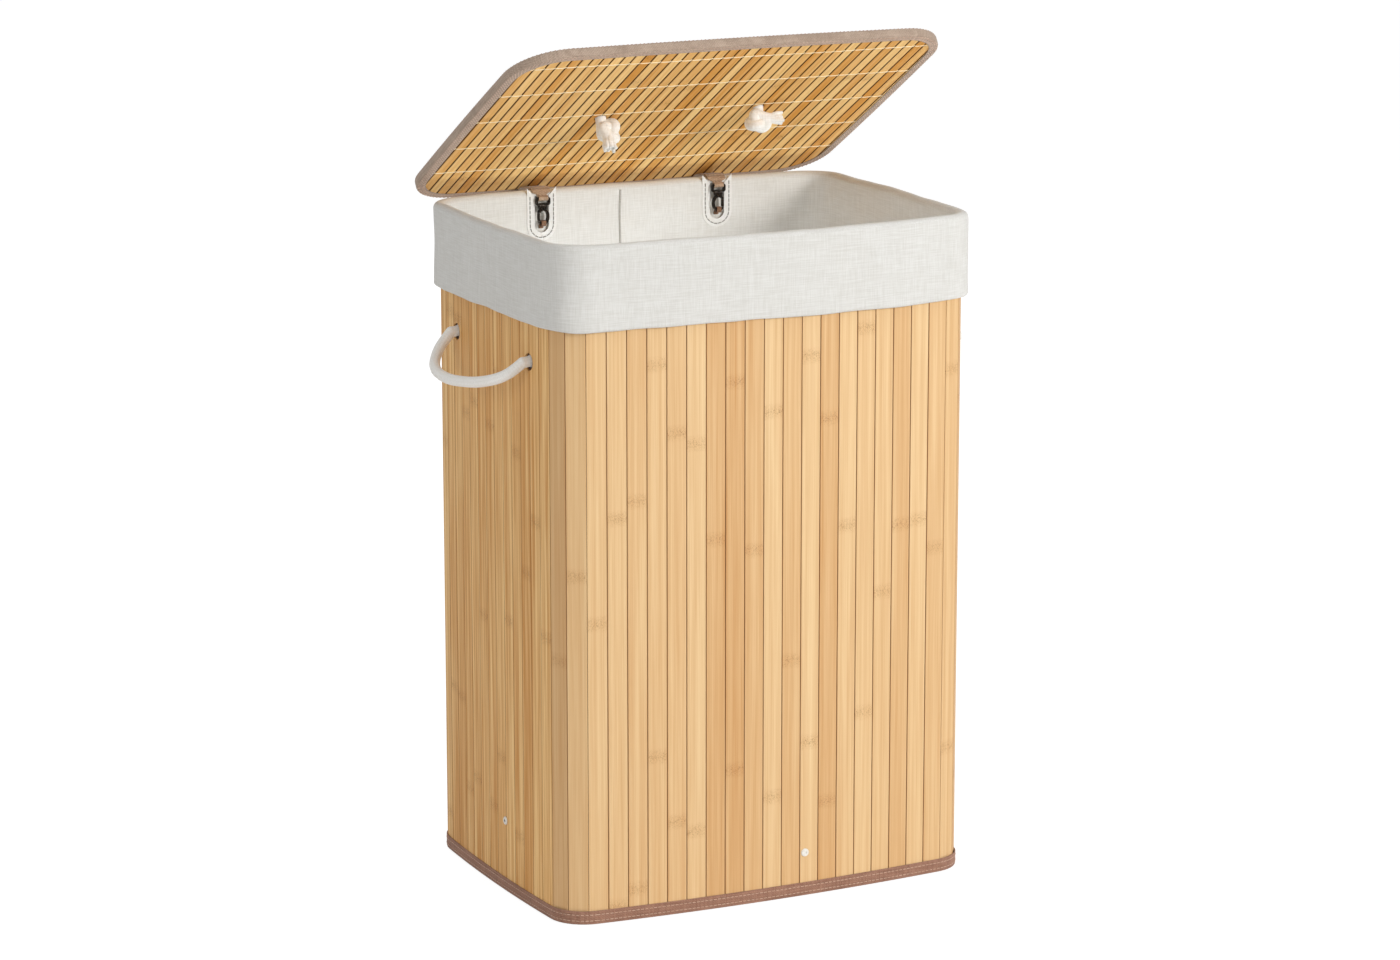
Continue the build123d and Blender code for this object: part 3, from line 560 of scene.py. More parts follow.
def sweep(name, path, section, closed_path=True, closed_section=False):
    """Mesh of a section, drawn as (outwards, up), carried along a path."""
    route = draw_line(name, path, closed_path)
    outline = [(out, up, 0) for out, up in section]
    profile = draw_line(name + "_section", outline, closed_section)
    route.data.bevel_mode = "OBJECT"
    route.data.bevel_object = profile
    route.data.twist_mode = "Z_UP"
    route.data.use_fill_caps = closed_section and not closed_path
    to_mesh(route)
    bpy.data.objects.remove(profile)
    bpy.ops.object.mode_set(mode="EDIT")
    bpy.ops.mesh.select_all(action="SELECT")
    bpy.ops.mesh.remove_doubles(threshold=0.00001)
    done_editing()
    return route


print("ready to carry sections along paths:", sweep.__name__)

# %% [markdown]
# The route is the hamper's footprint, a rectangle with slightly bowed sides. Eight arcs make it,
# four long ones for the sides and four short ones for the corners. The middle of a corner's arc
# is found step by step, until the arc runs smoothly on into both of its neighbours.

# %% Footprint
SPACING = 0.005


def bowed_rectangle(width, depth, corner, front_bow, side_bow, height=0.0):
    """Evenly spaced points round a rectangle with bowed sides, from the front's middle."""
    cx, cy = width / 2 - corner, depth / 2 - corner
    for _ in range(60):
        cx = width / 2 - side_bow + sqrt((side_bow - corner) ** 2 - cy**2)
        cy = depth / 2 - front_bow + sqrt((front_bow - corner) ** 2 - cx**2)
    front_y, right_x = front_bow - depth / 2, width / 2 - side_bow
    a, b = atan2(-cy - front_y, cx), atan2(-cy, cx - right_x)
    arcs = [
        (0, front_y, front_bow, -pi - a, a),
        (cx, -cy, corner, a, b),
        (right_x, 0, side_bow, b, -b),
        (cx, cy, corner, -b, -a),
        (0, -front_y, front_bow, -a, pi + a),
        (-cx, cy, corner, pi + a, pi + b),
        (-right_x, 0, side_bow, pi + b, pi - b),
        (-cx, -cy, corner, pi - b, pi - a),
    ]
    points = []
    for x, y, radius, first, last in arcs:
        steps = max(2, round(radius * (last - first) / SPACING))
        for i in range(steps):
            t = first + (last - first) * i / steps
            points.append((x + radius * cos(t), y + radius * sin(t), height))
    return points


FRONT_BOW = 1.8
SIDE_BOW = 1.9
BODY_WIDTH, BODY_DEPTH = 0.3984, 0.2984
body_path = bowed_rectangle(BODY_WIDTH, BODY_DEPTH, 0.032, FRONT_BOW, SIDE_BOW)
print("points round the footprint:", len(body_path))

# %% [markdown]
# ## The linen lining
#
# The lining is one bag of cloth. It stands inside the walls, rolls over the rim and hangs down
# outside as a cuff with a turned hem. The section is drawn from the bag's floor up the inside,
# over the roll and down to the hem, and is carried round the footprint. A soft coloured cloud
# texture then moves the cloth by a fraction of a millimetre, so it looks filled and handled, and
# both layers of the hem move together. The floor is filled in and the cloth is given its thickness.

# %% The bag and its cuff
LINEN_THICK = 0.0009
RIM_HEIGHT = 0.5828
ROLL = 0.00475
CUFF_LOW = 0.5145
BAG_LOW = 0.0060
bag_rise = (CUFF_LOW - BAG_LOW) / 24
bag_side = [(-0.00945 + 0.0045 * i / 24, BAG_LOW + bag_rise * i) for i in range(24)]
bag_side += [(-0.00495, CUFF_LOW + (RIM_HEIGHT - CUFF_LOW) * i / 12) for i in range(12)]
turns = [pi * i / 10 for i in range(11)]
roll = [(-0.0002 - ROLL * cos(t), RIM_HEIGHT + ROLL * sin(t)) for t in turns]
cuff = [(0.00455, RIM_HEIGHT - 0.0055 * i) for i in range(1, 13)]
hem = [(0.00440, 0.5158), (0.0038, 0.5150), (0.0030, 0.5158), (0.0029, 0.5200), (0.0029, 0.5265)]
lining = sweep("lining", body_path, bag_side + roll + cuff + hem)
choose(lining, "EDGE", lambda at: at.z < BAG_LOW + 0.00001)
bpy.ops.mesh.fill()
done_editing()
print("lining faces:", len(lining.data.polygons))

# %% [markdown]
# The knots of the two side handles press into the bag from outside. A modeller would take a few
# points at each knot and pull them inwards with proportional editing, so that the cloth around
# follows in a soft dome.

# %% Domes over the knots
KNOT_REACH = 0.0108
DOME_PULL = 0.0172
for side, end in side_holes:
    knot = Vector((SIDES[side] * 0.1922, ENDS[end], HANDLE_Z))
    choose(lining, "VERT", lambda at: (at - knot).length < KNOT_REACH)
    bpy.ops.transform.translate(
        value=(-SIDES[side] * DOME_PULL, 0, 0), use_proportional_edit=True,
        proportional_edit_falloff="SMOOTH", proportional_size=0.032,
        use_proportional_connected=True,
    )
    done_editing()
print("domes over the knots pulled in by mm", DOME_PULL * 1000)

# %% [markdown]
# Next the cloth gets its gentle folds. They fade out near the knots and near the snap hooks, where
# the cloth is held, and they are weaker on the roll. A vertex group stores how loose it is.

# %% Folds and thickness of the linen
NOTCH_X = 0.087
held_places = [Vector((SIDES[side] * 0.188, ENDS[end], HANDLE_Z)) for side, end in side_holes]
held_places += [Vector((x, 0.142, 0.57)) for x in (-NOTCH_X, NOTCH_X)]
loose = lining.vertex_groups.new(name="loose_cloth")
for vertex in lining.data.vertices:
    away = min((vertex.co - place).length for place in held_places)
    share = min(1, max(0, (away - 0.022) / 0.03))
    loose.add([vertex.index], share * (0.55 if vertex.co.z > 0.575 else 1.0), "REPLACE")
folds = bpy.data.textures.new("gentle_folds", "CLOUDS")
folds.noise_scale = 0.055
folds.noise_depth = 1
folds.cloud_type = "COLOR"
finish_modifier(
    lining, "DISPLACE", texture=folds, strength=0.0034, mid_level=0.5, direction="RGB_TO_XYZ",
    vertex_group="loose_cloth", texture_coords="LOCAL",
)
finish_modifier(lining, "SOLIDIFY", thickness=LINEN_THICK, offset=0.0)
print("lining thickened to mm", LINEN_THICK * 1000)

# %% [markdown]
# Two openings with round lower ends are cut through the bag's layer at the back, where the snap
# hooks sit. The cutter is a block whose two lower edges are rounded off until they meet.


# %% Openings for the snap hooks
def smooth(degrees):
    """Shades the piece smooth, apart from edges sharper than this."""
    bpy.ops.object.shade_smooth_by_angle(angle=radians(degrees))


NOTCHES = {"left": -NOTCH_X, "right": NOTCH_X}
NOTCH_WIDTH = 0.014
NOTCH_LOW = 0.5500
CUT_Y = 0.133
for x in NOTCHES.values():
    tall = RIM_HEIGHT - NOTCH_LOW
    bpy.ops.mesh.primitive_cube_add(size=1, location=(x, CUT_Y, NOTCH_LOW + tall / 2))
    cutter = bpy.context.object
    cutter.scale = (NOTCH_WIDTH, 0.026, tall)
    freeze()
    choose(cutter, "EDGE", lambda at: at.z < NOTCH_LOW + 0.001 and abs(at.y - CUT_Y) < 0.001)
    bpy.ops.mesh.bevel(offset=NOTCH_WIDTH / 2 - 0.00005, segments=10)
    done_editing()
    finish_modifier(lining, "BOOLEAN", object=cutter, operation="DIFFERENCE", solver="EXACT")
    bpy.data.objects.remove(cutter)
smooth(40)
settle(lining, "liner_cloth", "hamper", linen, "liner")
print("area of the lining's cloth, both faces", sum(face.area for face in lining.data.polygons))

# %% [markdown]
# Around each opening a smooth facing is sewn, in the shape of a U. It starts as a flat plate. Its
# two lower corners are rounded, the middle is inset and removed, and so is all above the rim.

# %% Facings of the openings
FACING_WIDTH = 0.0075
FACING_Y = 0.14140


def hollow(plate, thickness):
    """Leaves only a rim of the flat plate."""
    choose(plate, "FACE")
    bpy.ops.mesh.inset(thickness=thickness)
    bpy.ops.mesh.delete(type="FACE")
    done_editing()


def upright_plate(place, width, height):
    """Flat plate that stands facing the front."""
    bpy.ops.mesh.primitive_plane_add(size=1, location=place, rotation=(pi / 2, 0, 0))
    plate = bpy.context.object
    plate.scale = (width, height, 1)
    freeze()
    return plate


facings = {}
wide, low = NOTCH_WIDTH + 2 * FACING_WIDTH, NOTCH_LOW - FACING_WIDTH
high = RIM_HEIGHT + FACING_WIDTH
for side, x in NOTCHES.items():
    plate = upright_plate((x, FACING_Y, (low + high) / 2), wide, high - low)
    choose(plate, "VERT", lambda at: at.z < low + 0.001)
    bpy.ops.mesh.bevel(offset=wide / 2 - 0.0001, segments=12, affect="VERTICES")
    done_editing()
    hollow(plate, FACING_WIDTH)
    choose(plate, "FACE", lambda at, way: at.z > RIM_HEIGHT)
    bpy.ops.mesh.delete(type="FACE")
    done_editing()
    only(plate)
    slant = asin(x / FRONT_BOW)
    bpy.ops.transform.rotate(value=slant, orient_axis="Z", center_override=(x, FACING_Y, low))
    finish_modifier(plate, "SOLIDIFY", thickness=0.0007, offset=0.0)
    finish_modifier(plate, "BEVEL", width=0.0002, segments=2)
    node = "notch_facing_" + side
    facings[side] = settle(plate, node + "_cloth", "hamper", smooth_linen, node)

# %% [markdown]
# The bag is closed by one upright seam in the back wall, a narrow ridge where its two edges are
# sewn together. A strip is cut to that width, divided into short lengths, and laid onto the cloth
# with a shrinkwrap modifier, so that it follows every fold.

# %% Seam in the back wall
SEAM_MIDDLE = (-0.0085, 0.1320, 0.300)
seam_strip = upright_plate(SEAM_MIDDLE, 0.0016, 0.565)
choose(seam_strip, "EDGE", lambda at: abs(at.z - SEAM_MIDDLE[2]) < 0.1)
bpy.ops.mesh.subdivide(number_cuts=110)
done_editing()
finish_modifier(
    seam_strip, "SHRINKWRAP", target=lining, wrap_method="NEAREST_SURFACEPOINT",
    wrap_mode="OUTSIDE_SURFACE", offset=0.0003,
)
finish_modifier(seam_strip, "SOLIDIFY", thickness=0.0008, offset=0.0)
seam = settle(seam_strip, "liner_seam", "hamper", seam_grey)

# %% [markdown]
# ## Stitches
#
# A row of stitches is one short thread repeated along a line. One stitch is a small block with
# bevelled edges. An array repeats it until the line is filled, and a curve modifier bends the row
# along the line. A seam like this tells the eye at once that a piece is sewn.


# %% Rows of stitches
def join_into(piece, *others):
    """Makes the piece one with those that are selected and with the others."""
    for part in (piece, *others):
        part.select_set(True)
    bpy.context.view_layer.objects.active = piece
    bpy.ops.object.join()


STITCH, STITCH_GAP, STITCH_WIDE = 0.0028, 0.0012, 0.0006


def stitch_row(
    name, points, closed, body, finish,
    long=STITCH, gap=STITCH_GAP, wide=STITCH_WIDE, thick=None, slant=0.0,
):
    """Stitches of one length and gap along a line; slanted ones alternate as a zigzag."""
    line = draw_line(name + "_line", points, closed)
    line.data.twist_mode = "Z_UP"
    bpy.ops.mesh.primitive_cube_add(size=1, location=(long / 2, 0, 0))
    stitch = bpy.context.object
    stitch.scale = (long, wide, thick or wide)
    freeze()
    choose(stitch, "EDGE")
    bpy.ops.mesh.bevel(offset=wide * 0.3, segments=1)
    done_editing()
    if slant:
        bpy.ops.transform.rotate(value=slant, orient_axis="Z", center_override=(long / 2, 0, 0))
        bpy.ops.object.duplicate()
        bpy.ops.transform.resize(value=(1, -1, 1), center_override=(0, 0, 0))
        bpy.ops.transform.translate(value=(long * cos(slant), 0, 0))
        freeze()
        join_into(stitch)
        freeze()
        choose(stitch, "FACE")
        done_editing()
    step = 2 * long * cos(slant) if slant else long + gap
    finish_modifier(
        stitch, "ARRAY", fit_type="FIT_CURVE", curve=line, use_relative_offset=False,
        use_constant_offset=True, constant_offset_displace=(step, 0, 0),
    )
    finish_modifier(stitch, "CURVE", object=line, deform_axis="POS_X")
    bpy.data.objects.remove(line)
    return settle(stitch, name, body, finish)


print("a usual stitch and its gap in mm:", STITCH * 1000, STITCH_GAP * 1000)

# %% [markdown]
# Grey stitches hold each facing. Their line runs down one side of the opening, round its foot and
# up the other side, and it leans with the facing, because the back wall is bowed there. The bag,
# its seam, the facings and these stitches are one piece of sewing, all hung on the hamper.

# %% Stitches round the openings
sewn_on = [seam]
radius = NOTCH_WIDTH / 2 + FACING_WIDTH * 0.62
centre = NOTCH_LOW + NOTCH_WIDTH / 2
turns = [pi * i / 12 for i in range(1, 12)]
arch = [(-radius, RIM_HEIGHT), (-radius, centre)]
arch += [(-radius * cos(t), centre - radius * sin(t)) for t in turns]
arch += [(radius, centre), (radius, RIM_HEIGHT)]
for side, x in NOTCHES.items():
    lean = tan(asin(x / FRONT_BOW))
    line = [(x + out, FACING_Y - 0.0004 - out * lean, up) for out, up in arch]
    row = stitch_row(
        "notch_stitches_" + side, line, False, "hamper", thread_grey,
        long=0.0034, gap=0.0007, wide=0.0008,
    )
    sewn_on += [facings[side], row]

# %% [markdown]
# ## Tapes that bind the edges
#
# A folded tape guards the cut ends of the slats at the bottom, and another hides under the lining
# at the top. Each is a strip folded round the edge: an outer leg, the fold and an inner leg. The
# section shows the tape from its side, and is carried round the footprint and thickened.

# %% Tapes of the walls
TAPE_THICK = 0.0008


def taped_edge(name, path, section, body, finish, node, place=None):
    """Folded tape along a closed path, as thick as the tape, its folds rounded."""
    tape = sweep(name, path, section)
    finish_modifier(tape, "SOLIDIFY", thickness=TAPE_THICK * 0.98, offset=0.0)
    smooth(50)
    if place:
        tape.matrix_world = place @ tape.matrix_world
    return settle(tape, name, body, finish, node)


bottom_fold = [
    (0.00045, 0.0120), (0.00045, 0.0060), (0.00045, 0.0014), (0.00020, 0.0006), (-0.0005, 0.0004),
    (-0.0022, 0.0004), (-0.0028, 0.0006), (-0.0030, 0.0014), (-0.0030, 0.0060), (-0.0030, 0.0120),
]
taped_edge("bottom_tape", body_path, bottom_fold, "hamper", wall_tape, "bottom_binding")
top_fold = [
    (0.0004, 0.5456), (0.0004, 0.5822), (0.0, 0.5832), (-0.0022, 0.5832), (-0.0028, 0.5822),
    (-0.0028, 0.5456),
]
taped_edge("top_tape", body_path, top_fold, "hamper", pale_tape_painted_light, "top_binding")
TAPE_OUT = 0.0019
for number, height in enumerate((0.0034, 0.0086)):
    row = bowed_rectangle(
        BODY_WIDTH + TAPE_OUT, BODY_DEPTH + TAPE_OUT, 0.033, FRONT_BOW, SIDE_BOW, height
    )
    stitch_row("bottom_stitches_%d" % number, row, True, "hamper", thread_taupe, wide=0.0005)

# %% [markdown]
# The lid is bound in the same way, with a wider tape folded over its edge. It is modelled flat and
# then tipped back with the lid. A zigzag seam runs along both faces of the tape.

# %% Tape of the lid
LID_WIDTH, LID_DEPTH = 0.411, 0.314
LID_BOW = 6.0


def lid_outline(inset, height=0.0):
    """Outline of the lid, drawn in from its edge."""
    return bowed_rectangle(
        LID_WIDTH - 2 * inset, LID_DEPTH - 2 * inset, 0.046 - inset, LID_BOW, LID_BOW, height
    )


lid_fold = [
    (-0.0085, 0.0076), (-0.0045, 0.0076), (-0.0014, 0.0076), (-0.0007, 0.0072), (-0.0004, 0.0064),
    (-0.0004, 0.0016), (-0.0007, 0.0008), (-0.0014, 0.0004), (-0.0045, 0.0004), (-0.0085, 0.0004),
]
taped_edge("lid_tape", lid_outline(0), lid_fold, "lid", lid_tape, "lid_binding", lid_place)


def onto_lid(piece):
    """Tips a piece that was modelled on the flat lid back with it."""
    only(piece)
    bpy.context.view_layer.update()
    piece.matrix_world = lid_place @ piece.matrix_world
    freeze()


for face, height in (("under", -0.0001), ("over", 0.0081)):
    for number, inset in enumerate((0.0030, 0.0066)):
        zigzag = stitch_row(
            "lid_zigzag_%s_%d" % (face, number), lid_outline(inset, height), True, None,
            thread_taupe, long=0.0024, wide=0.0005, thick=0.0004, slant=radians(38),
        )
        onto_lid(zigzag)
        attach(zigzag, "lid")

# %% [markdown]
# Fine pale threads hold the narrow sticks together under the lid. A thread is not straight: it
# dips a little into the groove between two sticks and rises over the next one. Its path has one
# low and one high point per stick, and a small round section is carried along it.

# %% Threads under the lid
THREAD = 0.0010
THREAD_ROWS = (0.063, 0.118, 0.176, 0.232, 0.287)
OVER_STICK, IN_GROOVE = 0.00085 - 0.00018, 0.00085 + 0.0004
turns = [pi * i / 3 for i in range(6)]
round_section = [(THREAD / 2 * cos(t), THREAD / 2 * sin(t)) for t in turns]
for number, from_rear in enumerate(THREAD_ROWS):
    y = LID_DEPTH / 2 - from_rear
    reach = LID_WIDTH / 2 - 0.0080 - max(0, abs(y) - 0.115) * 0.6
    points = []
    x = -reach
    while x < reach:
        from_groove = abs(x / STICK_PITCH - round(x / STICK_PITCH))
        height = OVER_STICK if from_groove > 0.09 else IN_GROOVE
        points.append((x, y + 0.0004 * sin(x * 41 + number), height))
        x += STICK_PITCH / 12
    thread = sweep("lid_thread_%d" % number, points, round_section, False, True)
    onto_lid(thread)
    settle(thread, "lid_thread_%d" % number, "lid", thread_pale)

# %% [markdown]
# ## Webbing straps
#
# Two straps carry the lid. One layer is looped through the eye of the hook and sewn over the rim.
# A second layer starts on top of it and runs on to the underside of the lid. A narrow tab holds
# the foot of each hook to the wall. A strap is drawn as a line seen from the side, pulled out to
# the width of the webbing, and thickened. The free layer bends where the lid moves; it joins
# the hamper and the lid and is hung on neither of them.

# %% Ways to shape webbing
RIM_Y = 0.146896
LAYER_ONE = 0.00615
LAYER_TWO = 0.0071
STRAP_WIDTH = 0.018
STRAP_NECK = 0.0092
TAB_WIDTH = 0.0045
HOOK_Y = 0.138741
EYE_BAR = 0.58105
EYE_TURN = 0.002006


def over_rim(first, last, radius, steps):
    """Points over the rolled rim between two angles past its top, as (back, up)."""
    turns = [radians(first + (last - first) * i / steps) for i in range(steps + 1)]
    return [(RIM_Y + radius * sin(t), RIM_HEIGHT + radius * cos(t)) for t in turns]


def ribbon(name, line, x, width):
    """Webbing that follows a line seen from the side, centred at x, not yet thick."""
    strap = to_mesh(draw_line(name, [(x - width / 2, back, up) for back, up in line]))
    choose(strap, "EDGE")
    for _ in range(6):
        bpy.ops.mesh.extrude_region_move(TRANSFORM_OT_translate={"value": (width / 6, 0, 0)})
    done_editing()
    return strap


def narrow(strap, x, low, high, share):
    """Draws the strap in to a share of its width between two heights, on the bag's side."""
    choose(strap, "VERT", lambda at: low < at.z < high and at.y < RIM_Y)
    bpy.ops.transform.resize(value=(share, 1, 1), center_override=(x, 0, 0))
    done_editing()


def thicken(strap):
    """Gives the webbing its thickness and softens its edges."""
    finish_modifier(strap, "SOLIDIFY", thickness=TAPE_THICK, offset=0.0)
    finish_modifier(
        strap, "BEVEL", width=0.00018, segments=2, limit_method="ANGLE",
        angle_limit=radians(60),
    )
    smooth(50)


def under_lid(from_rear):
    """(Back, up) of a point on a strap that lies against the underside of the tipped lid."""
    at = lid_place @ Vector((0, LID_DEPTH / 2 - from_rear, -0.00055))
    return (at.y, at.z)


print("webbing in mm: wide", STRAP_WIDTH * 1000, "and at the hook", STRAP_NECK * 1000)

# %% [markdown]
# The three lines are seen from the side, as (back, up). The sewn layer goes nearly once round the
# bar of the hook's eye, then up and over the rim. The free layer starts above it and crosses to
# the lid. The tab climbs from the wall and closes round the foot of the hook.

# %% Straps and tabs
turns = [radians(18 * i) for i in range(1, 20)]
sewn_line = [(HOOK_Y + EYE_TURN * cos(t), EYE_BAR + EYE_TURN * sin(t)) for t in turns]
sewn_line += [(HOOK_Y + EYE_TURN, EYE_BAR)] + over_rim(-90, 80, LAYER_ONE, 16)
(start_y, start_z), (far_y, far_z) = over_rim(6, 6, LAYER_TWO, 1)[0], under_lid(0.017)
free_line = over_rim(-20, 6, LAYER_TWO, 5)
free_line += [
    (start_y + (far_y - start_y) * i / 12, start_z + (far_z - start_z) * i / 12)
    for i in range(1, 13)
]
free_line += [under_lid(0.004)]
tab_line = [
    (0.14315, 0.5535), (0.14315, 0.5558), (0.14094, 0.5586), (0.14094, 0.5604),
    (0.1403, 0.5609), (0.1372, 0.5609), (0.13654, 0.5604), (0.13654, 0.5569),
    (0.1372, 0.5563), (0.1403, 0.5563), (0.1408, 0.5568), (0.14088, 0.5580),
]
for side, x in NOTCHES.items():
    sewn = ribbon("sewn_webbing_" + side, sewn_line, x, STRAP_WIDTH)
    narrow(sewn, x, 0, RIM_HEIGHT + 0.0012, STRAP_NECK / STRAP_WIDTH)
    narrow(sewn, x, RIM_HEIGHT + 0.0012, RIM_HEIGHT + 0.0030, 0.76)
    thicken(sewn)
    settle(sewn, "sewn_webbing_" + side, "hamper", webbing, "sewn_strap_" + side)

    free = ribbon("hinge_webbing_" + side, free_line, x, STRAP_WIDTH)
    thicken(free)
    settle(free, "hinge_webbing_" + side, None, webbing, "hinge_strap_" + side)
    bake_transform(free)

    tab = ribbon("hook_tab_" + side, tab_line, x, TAB_WIDTH)
    thicken(tab)
    settle(tab, "hook_tab_" + side, "hamper", brown_webbing, "wall_tab_" + side)

# %% [markdown]
# ## Rope handles
#
# The rope is braided white cotton. Its loop is a round tube on the smooth route drawn at the
# start. The tube keeps a map of itself, along and around, so that the braid can follow every bend:
# two sets of slanted ribs that cross, one wound each way. The rope goes into a hole at both ends,
# where a short piece with a ball-shaped end takes over, so the loop can swing.


# %% Cotton braid
def braided(name, light, dark, along, around):
    """Cotton braid that follows the tube's own map, with this many ribs along and around."""
    material, surface, place = new_finish(name)
    fibres = grain(place, (0.9, 0.9, 0.9), 3.0)
    own_map = add_node("TexCoord", out="UV")
    parts = add_node("SeparateXYZ", (own_map,)).node.outputs
    ribs = []
    for way in (1, -1):
        slope = add_node("Math", (parts[1], way * around), operation="MULTIPLY")
        lean = add_node("Math", (parts[0], along, slope), operation="MULTIPLY_ADD")
        turn = add_node("Math", (lean, 2 * pi), operation="MULTIPLY")
        ribs.append(add_node("Math", (turn,), operation="SINE"))
    braid = add_node("Math", ribs, operation="MULTIPLY")
    soft = add_node("MapRange", (fibres, 0.3, 0.7, 0.25, 0.85))
    shade = add_node("Math", (braid, 0.25, soft), operation="MULTIPLY_ADD")
    colour = add_node("Mix", {0: shade, 6: paint(dark), 7: paint(light)}, 2, data_type="RGBA")
    relief = add_node("Math", (braid, 0.6, fibres), operation="MULTIPLY_ADD")
    coat(surface, colour, relief)
    surface.inputs["Roughness"].default_value = 0.85
    surface.inputs["Sheen Weight"].default_value = 0.2
    return material


loop_cotton = braided("loop_cotton", "fcfaf6", "ebe7df", 48, 4)
knot_cotton = woven("knot_cotton", "fefdfa", "f0ece4", 0.5, depth=0.0003)
print("cottons:", loop_cotton.name, knot_cotton.name)

# %% [markdown]
# A rope starts as its route. A copy of the curve gets the rope's radius as a bevel and becomes a
# mesh, and the rims of its two flat ends are bevelled, so that no end looks cut off.


# %% Rope loops
def rope_tube(name, path, radius):
    """Round mesh tube along a curve, closed at both ends."""
    only(path)
    bpy.ops.object.duplicate()
    tube = bpy.context.object
    tube.data.bevel_depth = radius
    tube.data.bevel_resolution = 4
    tube.data.use_fill_caps = True
    tube.data.resolution_u = 6
    bpy.ops.object.convert(target="MESH")
    tube = bpy.context.object
    ends = [face.center.copy() for face in tube.data.polygons if len(face.vertices) > 4]
    for end in ends:
        choose(tube, "FACE", lambda at, way: (at - end).length < 0.0002)
        bpy.ops.mesh.bevel(offset=radius * 0.45, segments=3)
        done_editing()
    bpy.ops.object.shade_smooth()
    tube.name = name
    return tube


rope_nodes = {
    "left": "handle_rope_left", "right": "handle_rope_right", "lid": "lid_handle_rope"
}
for side, path in loop_curves.items():
    bpy.context.view_layer.update()
    bare = bpy.data.meshes.new_from_object(path)
    bpy.data.meshes.remove(bare)
    rope = rope_tube("rope_" + side, path, ROPE / 2)
    settle(rope, "rope_" + side, side + "_handle", loop_cotton, rope_nodes[side])
    bpy.data.objects.remove(path)

# %% [markdown]
# ## Knots
#
# A knot keeps each rope end from slipping back through its hole. It is the plain overhand knot: the
# rope comes through the hole, makes a loop and goes through it. Pulled tight, that is a ring of
# three lobes that pass over and under each other, so its route comes from a few sines. Under the
# lid the knots are seen, and their ends are left to fray. Those of the side handles are smaller
# and lie flat between the wall and the lining.


# %% Route of a knot
def knot_route(lay, aside, far, size):
    """Overhand knot as a route: a three-lobed ring, cut open where the rope comes in and goes out.

    Its +Z runs away from the face behind the knot. Aside and far place its middle, and lay says
    which way of the ring goes along X, Y and Z.
    """
    route = [(aside * 0.2, 0, -0.0005)]
    for i in range(19):
        t = pi + 0.4 + (2 * pi - 0.8) * i / 18
        ways = {
            "along": size * (sin(t) + 2 * sin(2 * t)),
            "across": size * (cos(t) - 2 * cos(2 * t)),
            "over": size * 1.15 * sin(3 * t),
        }
        x, y, z = [ways[word] for word in lay]
        route.append((aside + x, y, far + z))
    return route


print("guide points of a knot:", len(knot_route(("along", "across", "over"), 0, 0, 1)))

# %% [markdown]
# A cut cotton rope opens into its strands. Each strand is a short curve with a round section. One
# runs straight on, the others fan out round it, and all of them thin out towards the tip and
# drift a little by chance, so that no two frayed ends are alike.

# %% Frayed rope ends
STRANDS = 9


def frayed_end(name, start, way):
    """Loose cotton strands that fan out from a rope's end, each thinner towards its tip."""
    chance = random.Random(name)
    way = Vector(way).normalized()
    aside = way.orthogonal().normalized()
    fan = bpy.data.curves.new(name, "CURVE")
    fan.dimensions = "3D"
    fan.bevel_depth = 0.0023
    fan.bevel_resolution = 2
    fan.use_fill_caps = True
    for i in range(STRANDS):
        out = Matrix.Rotation(2 * pi * i / (STRANDS - 1), 4, way) @ aside * (i > 0)
        spread = 0.0045 + chance.uniform(-0.0008, 0.0008)
        strand = fan.splines.new("NURBS")
        strand.points.add(3)
        reach = (-0.005, 0.0, 0.004, 0.0080 + chance.uniform(-0.0012, 0.0012))
        widths, thicknesses = (0.4, 0.7, 0.95, 1.15), (1.0, 1.0, 1.0, 0.6)
        for guide, along, wide, thick in zip(strand.points, reach, widths, thicknesses):
            drift = Vector([chance.uniform(-0.0006, 0.0006) for _ in range(3)])
            guide.co = (*(Vector(start) + way * along + out * spread * wide + drift), 1)
            guide.radius = thick
        strand.order_u = 3
        strand.use_endpoint_u = True
        strand.resolution_u = 5
    return to_mesh(add_object(name, fan))


print("strands in a frayed end:", STRANDS)

# %% [markdown]
# A knot is modelled at the origin, with the short rope that reaches back through the wall below
# it, and is then turned and moved to its hole. Two hang under the lid. The other four lie flat
# behind the side walls, and a ball at their outer end lets the loop turn without a gap.


# %% Knots in their places
def knot_piece(name, place, stub, route, tail, body, *stands_for):
    """Knotted rope end: its own +Z runs away from the face, stub reaches back, tail leads on.

    The tail is a start and a direction. Without one the stub ends in a ball, on which the loop
    turns.
    """
    route = [(0, 0, -stub)] + route
    if tail:
        start, way = Vector(tail[0]), Vector(tail[1]).normalized()
        route += [tuple(start - way * 0.006), tuple(start)]
    path = rope_curve(name + "_path", route)
    knot = rope_tube(name, path, ROPE / 2)
    bpy.data.objects.remove(path)
    if tail:
        extra = frayed_end(name + "_strands", start, way)
    else:
        bpy.ops.mesh.primitive_uv_sphere_add(
            segments=24, ring_count=16, radius=ROPE / 2, location=(0, 0, -stub)
        )
        extra = bpy.context.object
        extra.data.uv_layers[0].name = knot.data.uv_layers[0].name
    join_into(knot, extra)
    bpy.ops.object.shade_smooth()
    knot.matrix_world = place
    return settle(knot, name, body, knot_cotton, *stands_for)


